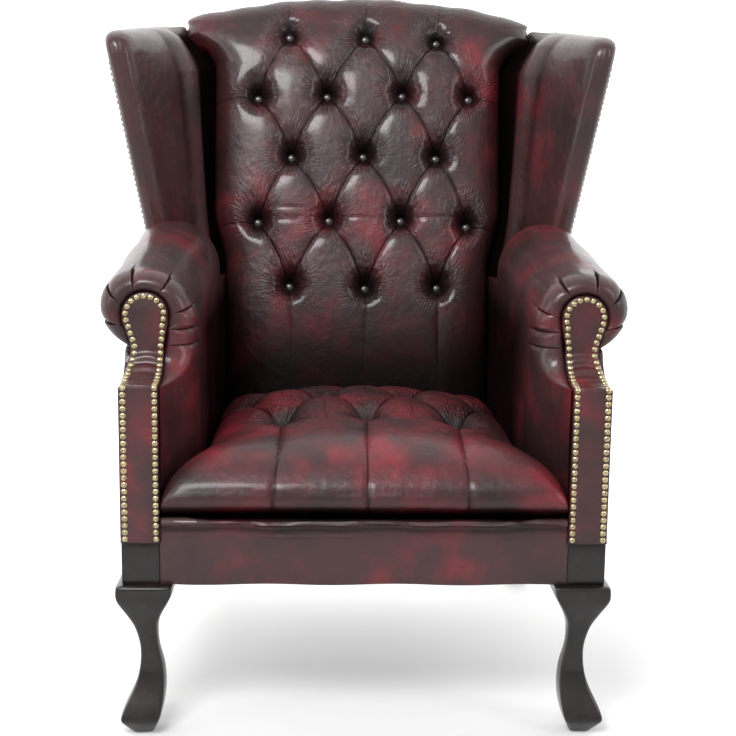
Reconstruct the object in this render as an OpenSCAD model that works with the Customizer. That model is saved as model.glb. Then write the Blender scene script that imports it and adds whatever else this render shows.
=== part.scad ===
/* [Seat] */
// Clear width between the two front facings
seat_w = 574; // [520:1:640]
// Clear width between the padded insides of the arms
seat_inner_w = 480; // [430:1:500]
// Depth from the front facings to the front of the rear posts
seat_d = 598; // [560:1:640]
// Height of the underside of the front border above the floor
rail_z = 225; // [200:1:250]
// Height of the leather front border
border_h = 98; // [85:1:115]
// Height of the crown of the seat above its front seam
seat_crown = 122; // [105:1:140]
// Height of the seat's front shoulder above its front seam
seat_shoulder = 86; // [70:1:95]
// Thickness of the seat foam block
seat_foam_h = 50; // [40:1:56]
// Distance of the first row of seat tufts behind the facings
seat_tuft_d = 200; // [170:1:230]
// Distance between the rows of seat tufts
seat_tuft_step = 128; // [105:1:135]
/* [Tufts] */
// Sideways distance between neighbouring tufts of the seat and the back
tuft_pitch = 133; // [120:1:140]
// Depth of the hollow round each tuft
tuft_depth = 30; // [20:1:34]
// Depth of the folded pleats between the tufts
pleat_depth = 9; // [5:0.5:12]
// Radius of a leather covered button
button_r = 8; // [6:0.5:10]
/* [Arms] */
// Width of the front of each arm, over its facing
facing_w = 54; // [50:1:60]
// Height of the shoulder of the lower facing above the floor
shoulder_z = 507; // [480:1:520]
// Setback of the scroll behind the lower facing
scroll_back = 76; // [66:1:90]
// Height of the hollow slope between the lower facing and the scroll
scoop_h = 46; // [36:1:52]
// Height of the top of the arm roll at its front
arm_z = 657; // [640:1:680]
// Radius of the outer lobe of the arm roll
roll_r = 54; // [48:1:58]
// Rise of the arm roll from front to rear, in degrees
arm_rise = 7; // [3:0.5:9]
// Radius of the rounded head of the nailed facing
bulb_r = 33; // [28:1:36]
// Thickness of leather with its wadding over the arms
arm_skin = 5; // [3:0.5:8]
// Distance between the decorative nails
nail_pitch = 10; // [9.5:0.5:14]
// Radius of a decorative nail head
nail_r = 4.5; // [3.5:0.1:4.5]
/* [Wings] */
// Width over the outsides of the wings
wing_span = 850; // [810:1:900]
// Thickness of the padded wing at its front edge
wing_t = 46; // [40:1:54]
// How far the rear of the wing's top lies below the middle of the crest
wing_drop = 52.4; // [40:0.1:90]
// How much lower the front corner of the wing lies than its rear
wing_slope = 28; // [10:1:40]
// Distance of the wing's front edge behind the facings, at its top
wing_front_d = 432; // [400:1:460]
// Lean of the wing's front edge between its foot and its top
wing_lean = 60; // [30:1:90]
// Radius of the wing's top front corner
wing_corner = 46; // [30:1:60]
/* [Back] */
// Width of the tufted back between the wings
back_w = 528; // [500:1:540]
// Rake of the back, in degrees
back_rake = 11; // [9:0.5:13]
// Length of the back measured up the rake, from the rail joint to the crest
back_len = 794; // [780:1:820]
// Drop of the crest from its middle to its ends
crest_drop = 41; // [36:1:52]
// Thickness of the stuffed back in front of its frame
back_pad = 70; // [66:1:80]
// Height of the lowest tuft row up the rake
back_tuft_v = 260; // [240:1:270]
// Distance between the lowest two tuft rows of the back
back_tuft_step = 122; // [112:1:124]
// How much closer each higher pair of tuft rows lies
back_tuft_close = 4.4; // [3:0.2:6]
/* [Frame] */
// Width and depth of the rear posts
post_t = 40; // [34:1:44]
// Outward splay of the rear posts beside the wings, in degrees
post_splay = 4; // [2:0.5:5]
// Thickness of the seat rails
rail_t = 28; // [22:1:32]
// Side of the square block on top of each front leg
block_t = 54; // [50:1:58]
// Thickness of the leather panels with their backing card
panel_t = 6; // [4:0.5:8]
// Number of serpentine springs under the seat
spring_n = 4; // [3:1:5]
// Radius of the spring wire
wire_r = 1.9; // [1.5:0.1:2.4]
// How far the feet of the rear posts stand behind the rail joint
rear_foot_d = 78; // [50:1:90]
/* [Hidden] */
$fn = 48;
over = 20;
fit = 0.3;

// Places that several pieces share
half_front = seat_w / 2;
half_inner = seat_inner_w / 2;
half_body = half_front + facing_w;
body_side = half_body - panel_t;
block_in = half_body - block_t;
border_t = 6;
border_d = 4;
rail_lift = 7;
clip_t = 2.2;
clip_h = 2 * wire_r + clip_t;
deck_t = 2;
rail_drop = clip_h + deck_t - fit;
rail_bottom_z = rail_z + rail_lift;
rail_top_z = rail_z + border_h - rail_drop;
rail_h = rail_top_z - rail_bottom_z;
front_rail_d = border_d + border_t;
joint_z = rail_z + border_h;
wing_z = joint_z + back_len * cos(back_rake) - wing_drop;
facing_lift = 61;
facing_foot = rail_z + facing_lift;
facing_in = half_front + 0.33 * border_t;
block_top = facing_foot - fit;
post_out = body_side;
post_in = post_out - post_t;
crest_h = 59;
post_len = back_len - crest_h;
cap_h = 12;
post_top_z = wing_z - cap_h;
back_back = post_t + panel_t;
roll_z = arm_z - roll_r;
roll_in_r = 1.39 * roll_r;
roll_in_x = half_inner + roll_in_r;
roll_in_z = arm_z - roll_in_r;
roll_x = half_body - 0.3 * roll_r;
wing_foot_z = roll_z - fit;
wing_foot_d = wing_front_d + wing_lean;
rake_gap_share = (1 - cos(back_rake)) / sin(back_rake);
knee_out_share = 0.15;
knee_out = knee_out_share * block_t;
crest_n = 7;
crest_reach = 0.7 * back_pad;
crest_path = [for (i = [0:crest_n]) let (a = 180 * i / crest_n)
    [mix(crest_reach, -back_back, (1 - cos(a)) / 2), sin(a)]];
rear_reach = max(concat(
    [post_d(wing_z) + back_back / cos(back_rake)],
    [for (c = crest_path) seat_d + (post_len + crest_h * c[1]) * sin(back_rake) - c[0] * cos(back_rake)]
));
mid_d = (rear_reach - knee_out) / 2;

function step(a) = let (b = min(max(a, 0), 1)) b * b * (3 - 2 * b);
function bell(r, wide) = exp(-r * r / (2 * wide * wide));
function add(list) = list * [for (p = list) 1];
function mean(list) = [for (k = [0:2]) add([for (p = list) p[k]]) / len(list)];
function mix(a, b, f) = a + (b - a) * f;

// Depth of the face of the rear posts at a height, how far they have splayed by then, and the
// side view of a point that lies so far behind that face and up the rake
function post_d(z) = seat_d + (z - joint_z) * tan(back_rake);
function post_shift(z) = max(z - wing_foot_z, 0) * tan(post_splay);
function raked(behind, v) = [
    seat_d + v * sin(back_rake) + behind * cos(back_rake),
    joint_z + v * cos(back_rake) - behind * sin(back_rake)
];

// Distance from a point to the stretch between two others
function off_line(p, a, b) = let (
    ab = b - a,
    f = min(max((p - a) * ab / (ab * ab), 0), 1)
) norm(p - a - f * ab);

// Everything is drawn with the facings at depth zero, then set about the middle of the depth
module seated() translate([0, -mid_d, 0]) children();
module on_rake() translate([0, seat_d, joint_z]) rotate([-back_rake, 0, 0]) children();
module sided(side) mirror([side < 0 ? 1 : 0, 0, 0]) children();
module side_outline(from_x, to_x) translate([from_x, 0, 0]) rotate([90, 0, 90])
    linear_extrude(to_x - from_x) children();

module front_outline(from_d, to_d) translate([0, to_d, 0]) rotate([90, 0, 0])
    linear_extrude(to_d - from_d) children();

// A closed skin through rings of points, with both ends fanned to their middles
module lofted(rings) {
    n = len(rings[0]);
    m = len(rings);
    walls = [for (i = [0:m - 2], j = [0:n - 1]) let (
        a = i * n + j,
        b = i * n + (j + 1) % n
    ) each [[a, a + n, b + n], [a, b + n, b]]];
    first = [for (j = [0:n - 1]) [j, (j + 1) % n, m * n]];
    last = [for (j = [0:n - 1]) let (k = (m - 1) * n) [k + (j + 1) % n, k + j, m * n + 1]];
    polyhedron(
        concat([for (ring = rings) each ring], [mean(rings[0]), mean(rings[m - 1])]),
        concat(walls, first, last)
    );
}

// A stuffed pad: rows of points over its face, whose ends lie on its base and close it there.
// The base has a pocket for the foam, from one row to another, with four corner points on each row
module pad(rows, pocket, first) {
    n = len(rows[0]);
    m = len(rows);
    last = first + len(pocket) - 1;
    k = (m - 1) * n;
    function strip(p, q, r, t) = [[p, q, t], [p, t, r]];
    function line(i) = let (c = m * n + 4 * (i - first)) [i * n, c, c + 1, c + 2, c + 3, i * n + n - 1];
    face = [for (i = [0:m - 2], j = [0:n - 2]) let (a = i * n + j)
        each [[a, a + n, a + n + 1], [a, a + n + 1, a + 1]]];
    foot = concat([for (j = [0:n - 2]) [j, j + 1, n]], [[n - 1, 2 * n - 1, n]]);
    head = concat([for (j = [0:n - 2]) [k + j + 1, k + j, k - 1]], [[k, k - n, k - 1]]);
    flats = [for (i = [1:m - 3]) if (i < first - 1 || i > last) let (a = i * n, b = a + n - 1)
        each strip(a, b, a + n, b + n)];
    sides = [for (i = [first:last - 1]) let (q = line(i), r = line(i + 1)) for (j = [0:4])
        each strip(q[j], q[j + 1], r[j], r[j + 1])];
    q = line(first);
    r = line(last);
    ends = let (a = q[0] - n, b = q[5] - n, c = r[0] + n, d = r[5] + n) [
        [a, b, q[5]], [a, q[5], q[4]], [a, q[4], q[1]], [a, q[1], q[0]],
        [q[1], q[4], q[3]], [q[1], q[3], q[2]],
        [d, c, r[0]], [d, r[0], r[1]], [d, r[1], r[4]], [d, r[4], r[5]],
        [r[1], r[2], r[3]], [r[1], r[3], r[4]]
    ];
    polyhedron(
        concat([for (row = rows) each row], [for (row = pocket) each row]),
        concat(face, foot, head, flats, sides, ends)
    );
}

// Front legs: cabriole, with the same curve on both outer faces, under a square block
leg_ring_n = 26;
glide_h = 3;
glide_r = 9;
knee_gap = 4;
knee_z = rail_z - knee_gap;
leg_out_shares = [[0, -0.07], [0.06, -0.02], [0.17, 0.15], [0.5, -0.3], [0.93, 0.15], [1, 0.08]];
leg_in_shares = [[0, -0.69], [0.3, -1.02], [0.64, -0.8], [0.95, -1.37], [1, -1.33]];
leg_corner_share = 0.24;
leg_corner_mid_share = 0.07;
function keyed(s, keys, i = 0) = i > len(keys) - 3 || s < keys[i + 1][0]
    ? mix(keys[i][1], keys[i + 1][1], step((s - keys[i][0]) / (keys[i + 1][0] - keys[i][0])))
    : keyed(s, keys, i + 1);
function leg_ring(i) = let (
    s = i / (leg_ring_n - 1),
    z = mix(glide_h, knee_z, s),
    o = keyed(s, leg_out_shares) * block_t,
    k = keyed(s, leg_in_shares) * block_t,
    c = leg_corner_share * (o - k),
    e = leg_corner_mid_share * (o - k)
) [for (p = [
    [o, o - c], [o - e, o - e], [o - c, o], [k + c, o], [k + e, o - e], [k, o - c],
    [k, k + c], [k + e, k + e], [k + c, k], [o - c, k], [o - e, k + e], [o, k + c]
]) [half_body + p[1], -p[0], z]];
module front_leg(side) color("#15110f") seated() sided(side) {
    lofted([for (i = [0:leg_ring_n - 1]) leg_ring(i)]);
    difference() {
        translate([block_in, border_d, knee_z - knee_gap])
            cube([block_t - fit, block_t, block_top - knee_z + knee_gap]);
        corner_screw_pair();
    }
}
module front_leg_left() front_leg(-1);
module front_leg_right() front_leg(1);

// Rear posts: a raked leg, the rail joint and the back post in one length of timber
rear_foot_t = 0.8 * post_t;
function kink(behind) = [seat_d + behind, joint_z - rake_gap_share * behind];
module rear_post_form() intersection() {
    side_outline(post_in, post_out + post_shift(post_top_z)) polygon([
        [seat_d, joint_z], [seat_d, rail_z], [seat_d + rear_foot_d, glide_h],
        [seat_d + rear_foot_d + rear_foot_t, glide_h], [seat_d + post_t, rail_z], kink(post_t),
        [post_d(post_top_z) + post_t / cos(back_rake), post_top_z], [post_d(post_top_z), post_top_z]
    ]);
    front_outline(0, seat_d + post_len) polygon([
        [post_in, 0], [post_out, 0], [post_out, wing_foot_z], [post_out + post_shift(post_top_z), post_top_z],
        [post_in + post_shift(post_top_z), post_top_z], [post_in, wing_foot_z]
    ]);
}
module rear_post(side) color("#3a2a20") seated() sided(side) rear_post_form();
module rear_post_left() rear_post(-1);
module rear_post_right() rear_post(1);

// Glides nailed under the four feet
front_glide = block_t * 0.38;
module glides() color("#8c8c8c") seated() for (side = [-1, 1]) {
    translate([side * (half_body - front_glide), front_glide, 0]) cylinder(h = glide_h, r = glide_r);
    translate([side * (post_in + post_t / 2), seat_d + rear_foot_d + rear_foot_t / 2, 0])
        cylinder(h = glide_h, r = glide_r);
}

// Seat rails
rear_rail_d = seat_d + border_d;
module front_rail() color("#c9a06a") seated()
    translate([-block_in, front_rail_d, rail_bottom_z]) cube([2 * block_in, rail_t, rail_h]);
module rear_rail() color("#c9a06a") seated()
    translate([-post_in, rear_rail_d, rail_bottom_z]) cube([2 * post_in, rail_t, rail_h]);
module side_rail(side) color("#c9a06a") seated() sided(side)
    translate([body_side - rail_t, border_d + block_t, rail_bottom_z])
        cube([rail_t, seat_d - border_d - block_t, rail_h]);
module side_rail_left() side_rail(-1);
module side_rail_right() side_rail(1);

// Corner blocks glued into the rails, each held by a screw set across the corner
corner_leg = 66;
corner_h = 44;
corner_z = rail_bottom_z + 0.2 * rail_h;
screw_r = 2.4;
screw_len = 40;
rail_in = body_side - rail_t;
front_screw_at = [block_in - 0.1 * corner_leg, border_d + block_t + 0.1 * corner_leg];
rear_screw_at = [rail_in - 0.3 * corner_leg, seat_d - 0.3 * corner_leg];
module corner_screw_pair() {
    translate([front_screw_at[0], front_screw_at[1], corner_z + corner_h / 2])
        rotate([90, 0, -135]) cylinder(h = screw_len, r = screw_r, center = true);
    translate([rear_screw_at[0], rear_screw_at[1], corner_z + corner_h / 2])
        rotate([90, 0, -45]) cylinder(h = screw_len, r = screw_r, center = true);
}
module corner_blocks() color("#b98f5c") seated() for (side = [-1, 1]) sided(side) difference() {
    translate([0, 0, corner_z]) linear_extrude(corner_h) {
        polygon([
            [block_in, front_rail_d + rail_t], [block_in - corner_leg, front_rail_d + rail_t],
            [rail_in, border_d + block_t + corner_leg], [rail_in, border_d + block_t],
            [block_in, border_d + block_t]
        ]);
        polygon([
            [rail_in, seat_d], [rail_in, seat_d - corner_leg], [post_in - corner_leg, seat_d],
            [post_in - corner_leg, rear_rail_d], [post_in, rear_rail_d], [post_in, seat_d]
        ]);
    }
    corner_screw_pair();
}
module corner_screws() color("#b8b8b8") seated() for (side = [-1, 1]) sided(side) corner_screw_pair();

// The arm's side profile: hollow slope at the front, roll line, step for the wing and raked end
scoop_n = 10;
function scoop(in) = [for (i = [0:scoop_n]) let (a = 90 * i / scoop_n) [
    in + scroll_back * sin(a),
    shoulder_z - in * cos(a) + scoop_h * (1 - cos(a))
]];
arm_end_d = wing_foot_d - fit;
function arm_end(z) = arm_end_d - wing_lean * (z - wing_foot_z) / (wing_z - wing_slope - wing_foot_z);
roll_end_z = roll_z + (arm_end_d - scroll_back) * tan(arm_rise);
function arm_side(in) = let (front = border_t + in, end = arm_end_d - in, top = arm_end(roll_end_z) - in) concat(
    [[front, rail_top_z]], scoop(front),
    [[scroll_back + front, roll_z], [top, roll_z + (top - scroll_back) * tan(arm_rise)],
    [end, wing_foot_z - in], [post_d(wing_foot_z) - fit - in, wing_foot_z - in],
    [seat_d - fit - in, joint_z], [seat_d - fit - in, rail_top_z]]
);

// Plan of the padded inside of the arm, swelling from the facing to its full thickness
swell_n = 10;
swell_d = 118;
function pad_in(d) = mix(facing_in, half_inner, step((d - border_t) / swell_d));
function arm_plan(in, side) = let (rear = post_d(wing_foot_z) + over) concat(
    [for (i = [0:swell_n]) let (d = border_t + swell_d * i / swell_n) [pad_in(d) + in, d]],
    [[half_inner + in, rear], [side, rear], [side, border_t]]
);
module arm_body(in, side) intersection() {
    side_outline(0, half_body + over) polygon(arm_side(in));
    linear_extrude(wing_z) polygon(arm_plan(in, side));
}
module roll_section(in) {
    intersection() {
        translate([roll_in_x, roll_in_z]) circle(r = roll_in_r - in);
        translate([half_inner, roll_in_z - roll_in_r / 2]) square([roll_in_r, 2 * roll_in_r]);
    }
    translate([roll_x, roll_z]) circle(r = roll_r - in);
}
module arm_roll(in) intersection() {
    translate([0, scroll_back, roll_z]) rotate([90 + arm_rise, 0, 0])
        translate([0, -roll_z, -wing_foot_d]) linear_extrude(wing_foot_d + over) roll_section(in);
    side_outline(0, half_body + 2 * roll_r) polygon([
        [scroll_back + border_t + in, 0], [scroll_back + border_t + in, wing_z],
        [arm_end(wing_z) - in, wing_z], [arm_end(wing_foot_z) - in, wing_foot_z], [arm_end_d - in, 0]
    ]);
}
module arm_form(in, side) {
    arm_body(in, side);
    arm_roll(in);
}

// Leather of the arm: inside arm and roll in one, open at the bottom and to the outside panel
module arm_cover(side) color("#5a1a1f") seated() sided(side) difference() {
    arm_form(0, body_side);
    arm_form(arm_skin, body_side + fit);
    arm_rail_form(fit);
}
module arm_cover_left() arm_cover(-1);
module arm_cover_right() arm_cover(1);

// Arm stump on the leg block, with the arm's top rail behind it
stump_x = facing_in + border_t;
stump_front = border_t + arm_skin + 2 * fit;
stump_top = roll_z - arm_skin - fit - border_t;
stump_d = 34;
arm_rail_d = scroll_back + stump_front + stump_d;
arm_rail_t = 26;
arm_rail_h = 40;
module stump_outline() polygon(concat(
    [[stump_front, block_top]], scoop(stump_front), [
    [scroll_back + stump_front, stump_top], [arm_rail_d, stump_top],
    [arm_rail_d, shoulder_z], [border_d + block_t, shoulder_z - 2 * stump_d],
    [border_d + block_t, block_top]
]));
module arm_post(side) color("#c9a06a") seated() sided(side)
    side_outline(stump_x, body_side) stump_outline();
module arm_post_left() arm_post(-1);
module arm_post_right() arm_post(1);
module arm_rail_form(grow) side_outline(stump_x - grow, stump_x + arm_rail_t + grow)
    let (top = stump_top + grow, foot = stump_top - arm_rail_h - grow)
        polygon([[arm_rail_d, foot], [arm_rail_d, top], [post_d(top) + grow, top], [post_d(foot) + grow, foot]]);
module arm_rail(side) color("#c9a06a") seated() sided(side) arm_rail_form(0);
module arm_rail_left() arm_rail(-1);
module arm_rail_right() arm_rail(1);

// Stuffing of the arm, inside the leather and round the timber
foam_setback = 42;
module arm_foam(side) color("#d8c070") seated() sided(side) difference() {
    intersection() {
        arm_form(arm_skin + fit, body_side - fit);
        side_outline(0, half_body + 2 * roll_r) polygon([
            [border_t, rail_top_z], [post_d(wing_z), rail_top_z], [post_d(wing_z), wing_z],
            [scroll_back + foam_setback, wing_z], [scroll_back + foam_setback, shoulder_z],
            [foam_setback, shoulder_z - foam_setback], [foam_setback, rail_top_z]
        ]);
    }
    translate([stump_x - fit, 0, 0]) cube([half_body, post_d(wing_z), stump_top + fit]);
}
module arm_foam_left() arm_foam(-1);
module arm_foam_right() arm_foam(1);

// Nailed facing: its front outline, cut from a thin skin that follows the side profile
bulb_x = (facing_in + half_body) / 2;
bulb_z = roll_z - 0.18 * roll_r;
neck_z = shoulder_z + scoop_h * 0.9;
neck_in = 7;
module facing_outline() {
    translate([bulb_x, bulb_z]) circle(r = bulb_r);
    polygon([
        [facing_in, facing_foot], [half_body, facing_foot], [half_body, shoulder_z],
        [half_body - neck_in, neck_z], [bulb_x + bulb_r, bulb_z], [bulb_x - bulb_r, bulb_z],
        [facing_in, neck_z], [facing_in, shoulder_z]
    ]);
}
function facing_side(in, far) = concat(
    [[in, facing_foot - far]], scoop(in),
    [[scroll_back + in, arm_z + far], [2 * scroll_back + far, arm_z + far],
    [2 * scroll_back + far, facing_foot - far]]
);
module arm_facing(side) color("#4a171b") seated() sided(side) intersection() {
    side_outline(0, half_body + over) difference() {
        polygon(facing_side(0, 0));
        polygon(facing_side(border_t - fit, over));
    }
    translate([0, scroll_back + over, 0]) rotate([90, 0, 0])
        linear_extrude(scroll_back + 2 * over) facing_outline();
}
module arm_facing_left() arm_facing(-1);
module arm_facing_right() arm_facing(1);

// Domed nails in two columns up the facing, down the slope and round its head
nail_h = 0.55 * nail_r;
nail_in = 1.3 * nail_r;
nail_rows = floor((shoulder_z - facing_foot - 2 * nail_in) / nail_pitch);
slope_step_n = 30;
function slope_at(a) = [scroll_back * sin(a), shoulder_z + scoop_h * (1 - cos(a))];
function slope_run(i) = i == 0 ? 0
    : slope_run(i - 1) + norm(slope_at(90 * i / slope_step_n) - slope_at(90 * (i - 1) / slope_step_n));
slope_table = [for (i = [0:slope_step_n]) [slope_run(i), 90 * i / slope_step_n]];
slope_len = slope_run(slope_step_n);
slope_n = floor(slope_len / nail_pitch) - 1;
bulb_from = -22;
bulb_n = floor(bulb_r * 3.6 / nail_pitch);
neck_n = 2;
neck_top_z = bulb_z + (bulb_r - nail_in) * sin(bulb_from);
module nail() translate([0, 0, fit]) cylinder(h = nail_h, r1 = nail_r, r2 = 0.6 * nail_r);
module facing_nails() {
    for (x = [facing_in + nail_in, half_body - nail_in]) {
        for (i = [0:nail_rows]) translate([x, 0, facing_foot + nail_in + i * nail_pitch])
            rotate([90, 0, 0]) nail();
        for (i = [1:slope_n]) let (
            a = lookup(slope_len * i / (slope_n + 1), slope_table),
            drawn = x > bulb_x ? -neck_in * step(a / 90) : 0
        ) translate([x + drawn, slope_at(a)[0], slope_at(a)[1]])
            rotate([atan2(scoop_h * sin(a), scroll_back * cos(a)), 0, 0]) nail();
    }
    for (i = [0:bulb_n]) let (a = mix(bulb_from, 180 - bulb_from, i / bulb_n), r = bulb_r - nail_in)
        translate([bulb_x + r * cos(a), scroll_back, bulb_z + r * sin(a)]) rotate([90, 0, 0]) nail();
    for (x = [facing_in + nail_in, half_body - nail_in - neck_in], i = [1:neck_n])
        translate([x, scroll_back, mix(shoulder_z + scoop_h, neck_top_z, i / (neck_n + 1))])
            rotate([90, 0, 0]) nail();
}
module arm_nails(side) color("#b08d4c") seated() sided(side) facing_nails();
module arm_nails_left() arm_nails(-1);
module arm_nails_right() arm_nails(1);

// Wings: level sections from the arm to the top, each a rounded front edge run back past the post
half_back = back_w / 2;
wing_flap = panel_t;
ear_h = 78;
ear_z = wing_z - ear_h;
board_t = 20;
board_in = 14;
nose_n = 6;
face_n = 5;
face_swell = 9;
wing_out_foot = half_body + 0.2 * wing_t;
wing_shares = [0, 0.14, 0.3, 0.46, 0.62, 0.78, 0.85, 0.9, 0.935];
cap_lip = 0.5;
cap_foot = post_top_z + fit;
wing_sections = concat(
    [for (s = wing_shares) [mix(wing_foot_z + fit, wing_z, s), false]],
    [[cap_foot, false], [cap_foot + cap_lip, true], [mix(cap_foot, wing_z, 0.6), true], [wing_z, true]]
);
function wing_rear_in(z) = mix(
    mix(half_inner, half_back, step((z - wing_foot_z) / half_inner * 2)),
    post_in + post_shift(z), pow(max(z - ear_z, 0) / ear_h, 1.3)
);
function wing_rear_out(z) = post_out + post_shift(z) + wing_flap;
function wing_out(z) = mix(wing_out_foot, wing_span / 2, (z - wing_foot_z) / (wing_z - wing_foot_z));
function wing_nose(z) = wing_front_d + wing_lean * (wing_z - z) / (wing_z - wing_foot_z)
    + wing_corner * (1 - cos(asin(min(max((z - wing_z + wing_corner) / wing_corner, 0), 1))));
function wing_thick(z) = let (over = min(max((z - wing_z) / (wing_t / 2) + 1, 0), 1))
    wing_t * mix(0.45, 1, sqrt(1 - over * over));
// The top of the wing falls to the front, and each section below it falls in proportion
function wing_lower(z, share) = wing_slope * share * (z - wing_foot_z - fit) / (wing_z - wing_foot_z - fit);
function wing_ring(z, capped) = let (
    th = wing_thick(z),
    nose = wing_nose(z) + th / 2,
    nx = wing_out(z) - th / 2,
    rear = post_d(z) - fit,
    back = post_d(z) + back_back / cos(back_rake),
    step_x = (capped ? post_in : post_out) + post_shift(z) + fit,
    inner = [for (i = [0:face_n]) let (f = i / face_n) [
        mix(wing_rear_in(z), nx - th / 2, f) - face_swell * sin(180 * f),
        mix(rear, nose, f)
    ]],
    edge = [for (i = [1:nose_n]) let (a = 180 + 180 * i / nose_n) [nx + th / 2 * cos(a), nose + th / 2 * sin(a)]]
) [for (p = concat(inner, edge, [[wing_rear_out(z), back], [step_x, back], [step_x, rear]]))
    [p[0], p[1], z - wing_lower(z, min(max((rear - p[1]) / (rear - nose), 0), 1))]];
function board_ring(z, grow) = let (
    th = wing_thick(z),
    nx = wing_out(z) - th / 2,
    rear = post_d(z) - fit + grow,
    nose = wing_nose(z) + board_in - grow,
    x0 = post_in + post_shift(z) + border_t,
    low = z - wing_lower(z, (rear - nose) / (rear - wing_nose(z) - th / 2)),
    a = [x0 - grow, rear, z],
    b = [nx - board_t / 2 - grow, nose, low],
    c = [nx + board_t / 2 + grow, nose, low],
    d = [x0 + board_t + grow, rear, z]
) concat(
    [for (i = [0:face_n]) mix(a, b, i / face_n)],
    [for (i = [1:nose_n]) mix(b, c, i / nose_n)],
    [for (i = [0:2]) mix(d, a, i / 3)]
);
board_top_z = post_top_z - board_in;
board_shares = [0, 0.25, 0.5, 0.75, 0.9, 1];
function board_rings(grow) = [for (s = board_shares)
    board_ring(mix(wing_foot_z + fit, board_top_z + grow, s), grow)];
// The outer skin of the wing with the board's hollow in it, open at the foot
module wing_shell() {
    outer = [for (s = wing_sections) wing_ring(s[0], s[1])];
    inner = board_rings(fit);
    n = len(outer[0]);
    m = len(outer);
    k = m * n;
    h = len(inner);
    function loop(at, i, j) = let (a = at + i * n + j, b = at + i * n + (j + 1) % n) [a, a + n, b + n, b];
    walls = [for (i = [0:m - 2], j = [0:n - 1]) let (q = loop(0, i, j))
        each [[q[0], q[1], q[2]], [q[0], q[2], q[3]]]];
    hollow = [for (i = [0:h - 2], j = [0:n - 1]) let (q = loop(k, i, j))
        each [[q[0], q[2], q[1]], [q[0], q[3], q[2]]]];
    foot = [for (j = [0:n - 1]) let (b = (j + 1) % n) each [[j, b, k + b], [j, k + b, k + j]]];
    top = [for (j = [0:n - 1]) [(m - 1) * n + (j + 1) % n, (m - 1) * n + j, k + h * n]];
    roof = [for (j = [0:n - 1]) [k + (h - 1) * n + j, k + (h - 1) * n + (j + 1) % n, k + h * n + 1]];
    polyhedron(
        concat([for (r = outer) each r], [for (r = inner) each r], [mean(outer[m - 1]), mean(inner[h - 1])]),
        concat(walls, hollow, foot, top, roof)
    );
}
module wing_frame(side) color("#c9a06a") seated() sided(side) lofted(board_rings(0));
module wing_frame_left() wing_frame(-1);
module wing_frame_right() wing_frame(1);
module wing_cover(side) color("#571a20") seated() sided(side) wing_shell();
module wing_cover_left() wing_cover(-1);
module wing_cover_right() wing_cover(1);

// Small nails down the outside of the wing, just behind its front edge
wing_nail_foot = wing_foot_z + 2 * wing_t;
wing_nail_n = floor((wing_z - wing_corner - wing_nail_foot) / nail_pitch);
module wing_nails(side) color("#8d6f3c") seated() sided(side) for (i = [0:wing_nail_n]) let (
    z = wing_nail_foot + i * nail_pitch,
    nose = wing_nose(z) + wing_t / 2,
    run = post_d(z) + back_back / cos(back_rake) - nose,
    turn = atan2(wing_out(z) - wing_rear_out(z), run)
) translate([wing_out(z), nose, z - wing_lower(z, 1)]) rotate([0, 0, turn]) translate([0, nail_r, 0])
    rotate([0, 90, 0]) translate([0, 0, fit]) nail();
module wing_nails_left() wing_nails(-1);
module wing_nails_right() wing_nails(1);

// Rails across the back, let in between the posts
web_t = 1.5;
back_rail_w = 2 * web_t + fit;
back_rail_t = post_t - back_rail_w - border_t;
top_rail_h = 64;
lower_rail_v = 70;
lower_rail_h = 50;
module back_top_rail() color("#c9a06a") seated() intersection() {
    side_outline(-half_body, half_body) polygon([
        raked(back_rail_w, post_len - top_rail_h), raked(back_rail_w + back_rail_t, post_len - top_rail_h),
        raked(back_rail_w + back_rail_t, post_len), raked(back_rail_w, post_len)
    ]);
    front_outline(0, seat_d + post_len) let (top = raked(0, post_len)[1], wide = post_in + post_shift(top)) polygon([
        [-post_in, wing_foot_z], [post_in, wing_foot_z], [wide, top], [-wide, top]
    ]);
}
module back_lower_rail() color("#c9a06a") seated() on_rake()
    translate([-post_in, back_rail_w, lower_rail_v]) cube([2 * post_in, back_rail_t, lower_rail_h]);

// Webbing of the back: upright straps tacked to both rails, level straps laid over them
strap_w = 50;
strap_n = 4;
strap_top = post_len - top_rail_h / 2;
strap_foot = lower_rail_v + lower_rail_h / 4;
module back_webbing() color("#7a6a4a") seated() on_rake() {
    for (i = [0:strap_n - 1]) let (x = (i - (strap_n - 1) / 2) * (2 * post_in / strap_n))
        translate([x - strap_w / 2, web_t + fit, strap_foot]) cube([strap_w, web_t, strap_top - strap_foot]);
    for (i = [1:strap_n]) let (v = mix(strap_foot, strap_top, i / (strap_n + 1)))
        translate([-post_in + fit, fit, v - strap_w / 2]) cube([2 * (post_in - fit), web_t, strap_w]);
}

// Serpentine springs from the front rail to the rear rail
run_n = 13;
spring_half = 26;
spring_z = rail_top_z + wire_r;
spring_from = front_rail_d + rail_t / 2;
spring_to = rear_rail_d + rail_t / 2;
spring_pitch = (spring_to - spring_from) / (run_n - 1);
spring_gap = 2 * (half_inner - spring_half) / spring_n;
bend_r = spring_pitch / 2;
bend_n = 4;
wire_n = 6;
function spring_x(i) = (i - (spring_n - 1) / 2) * spring_gap;
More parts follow.
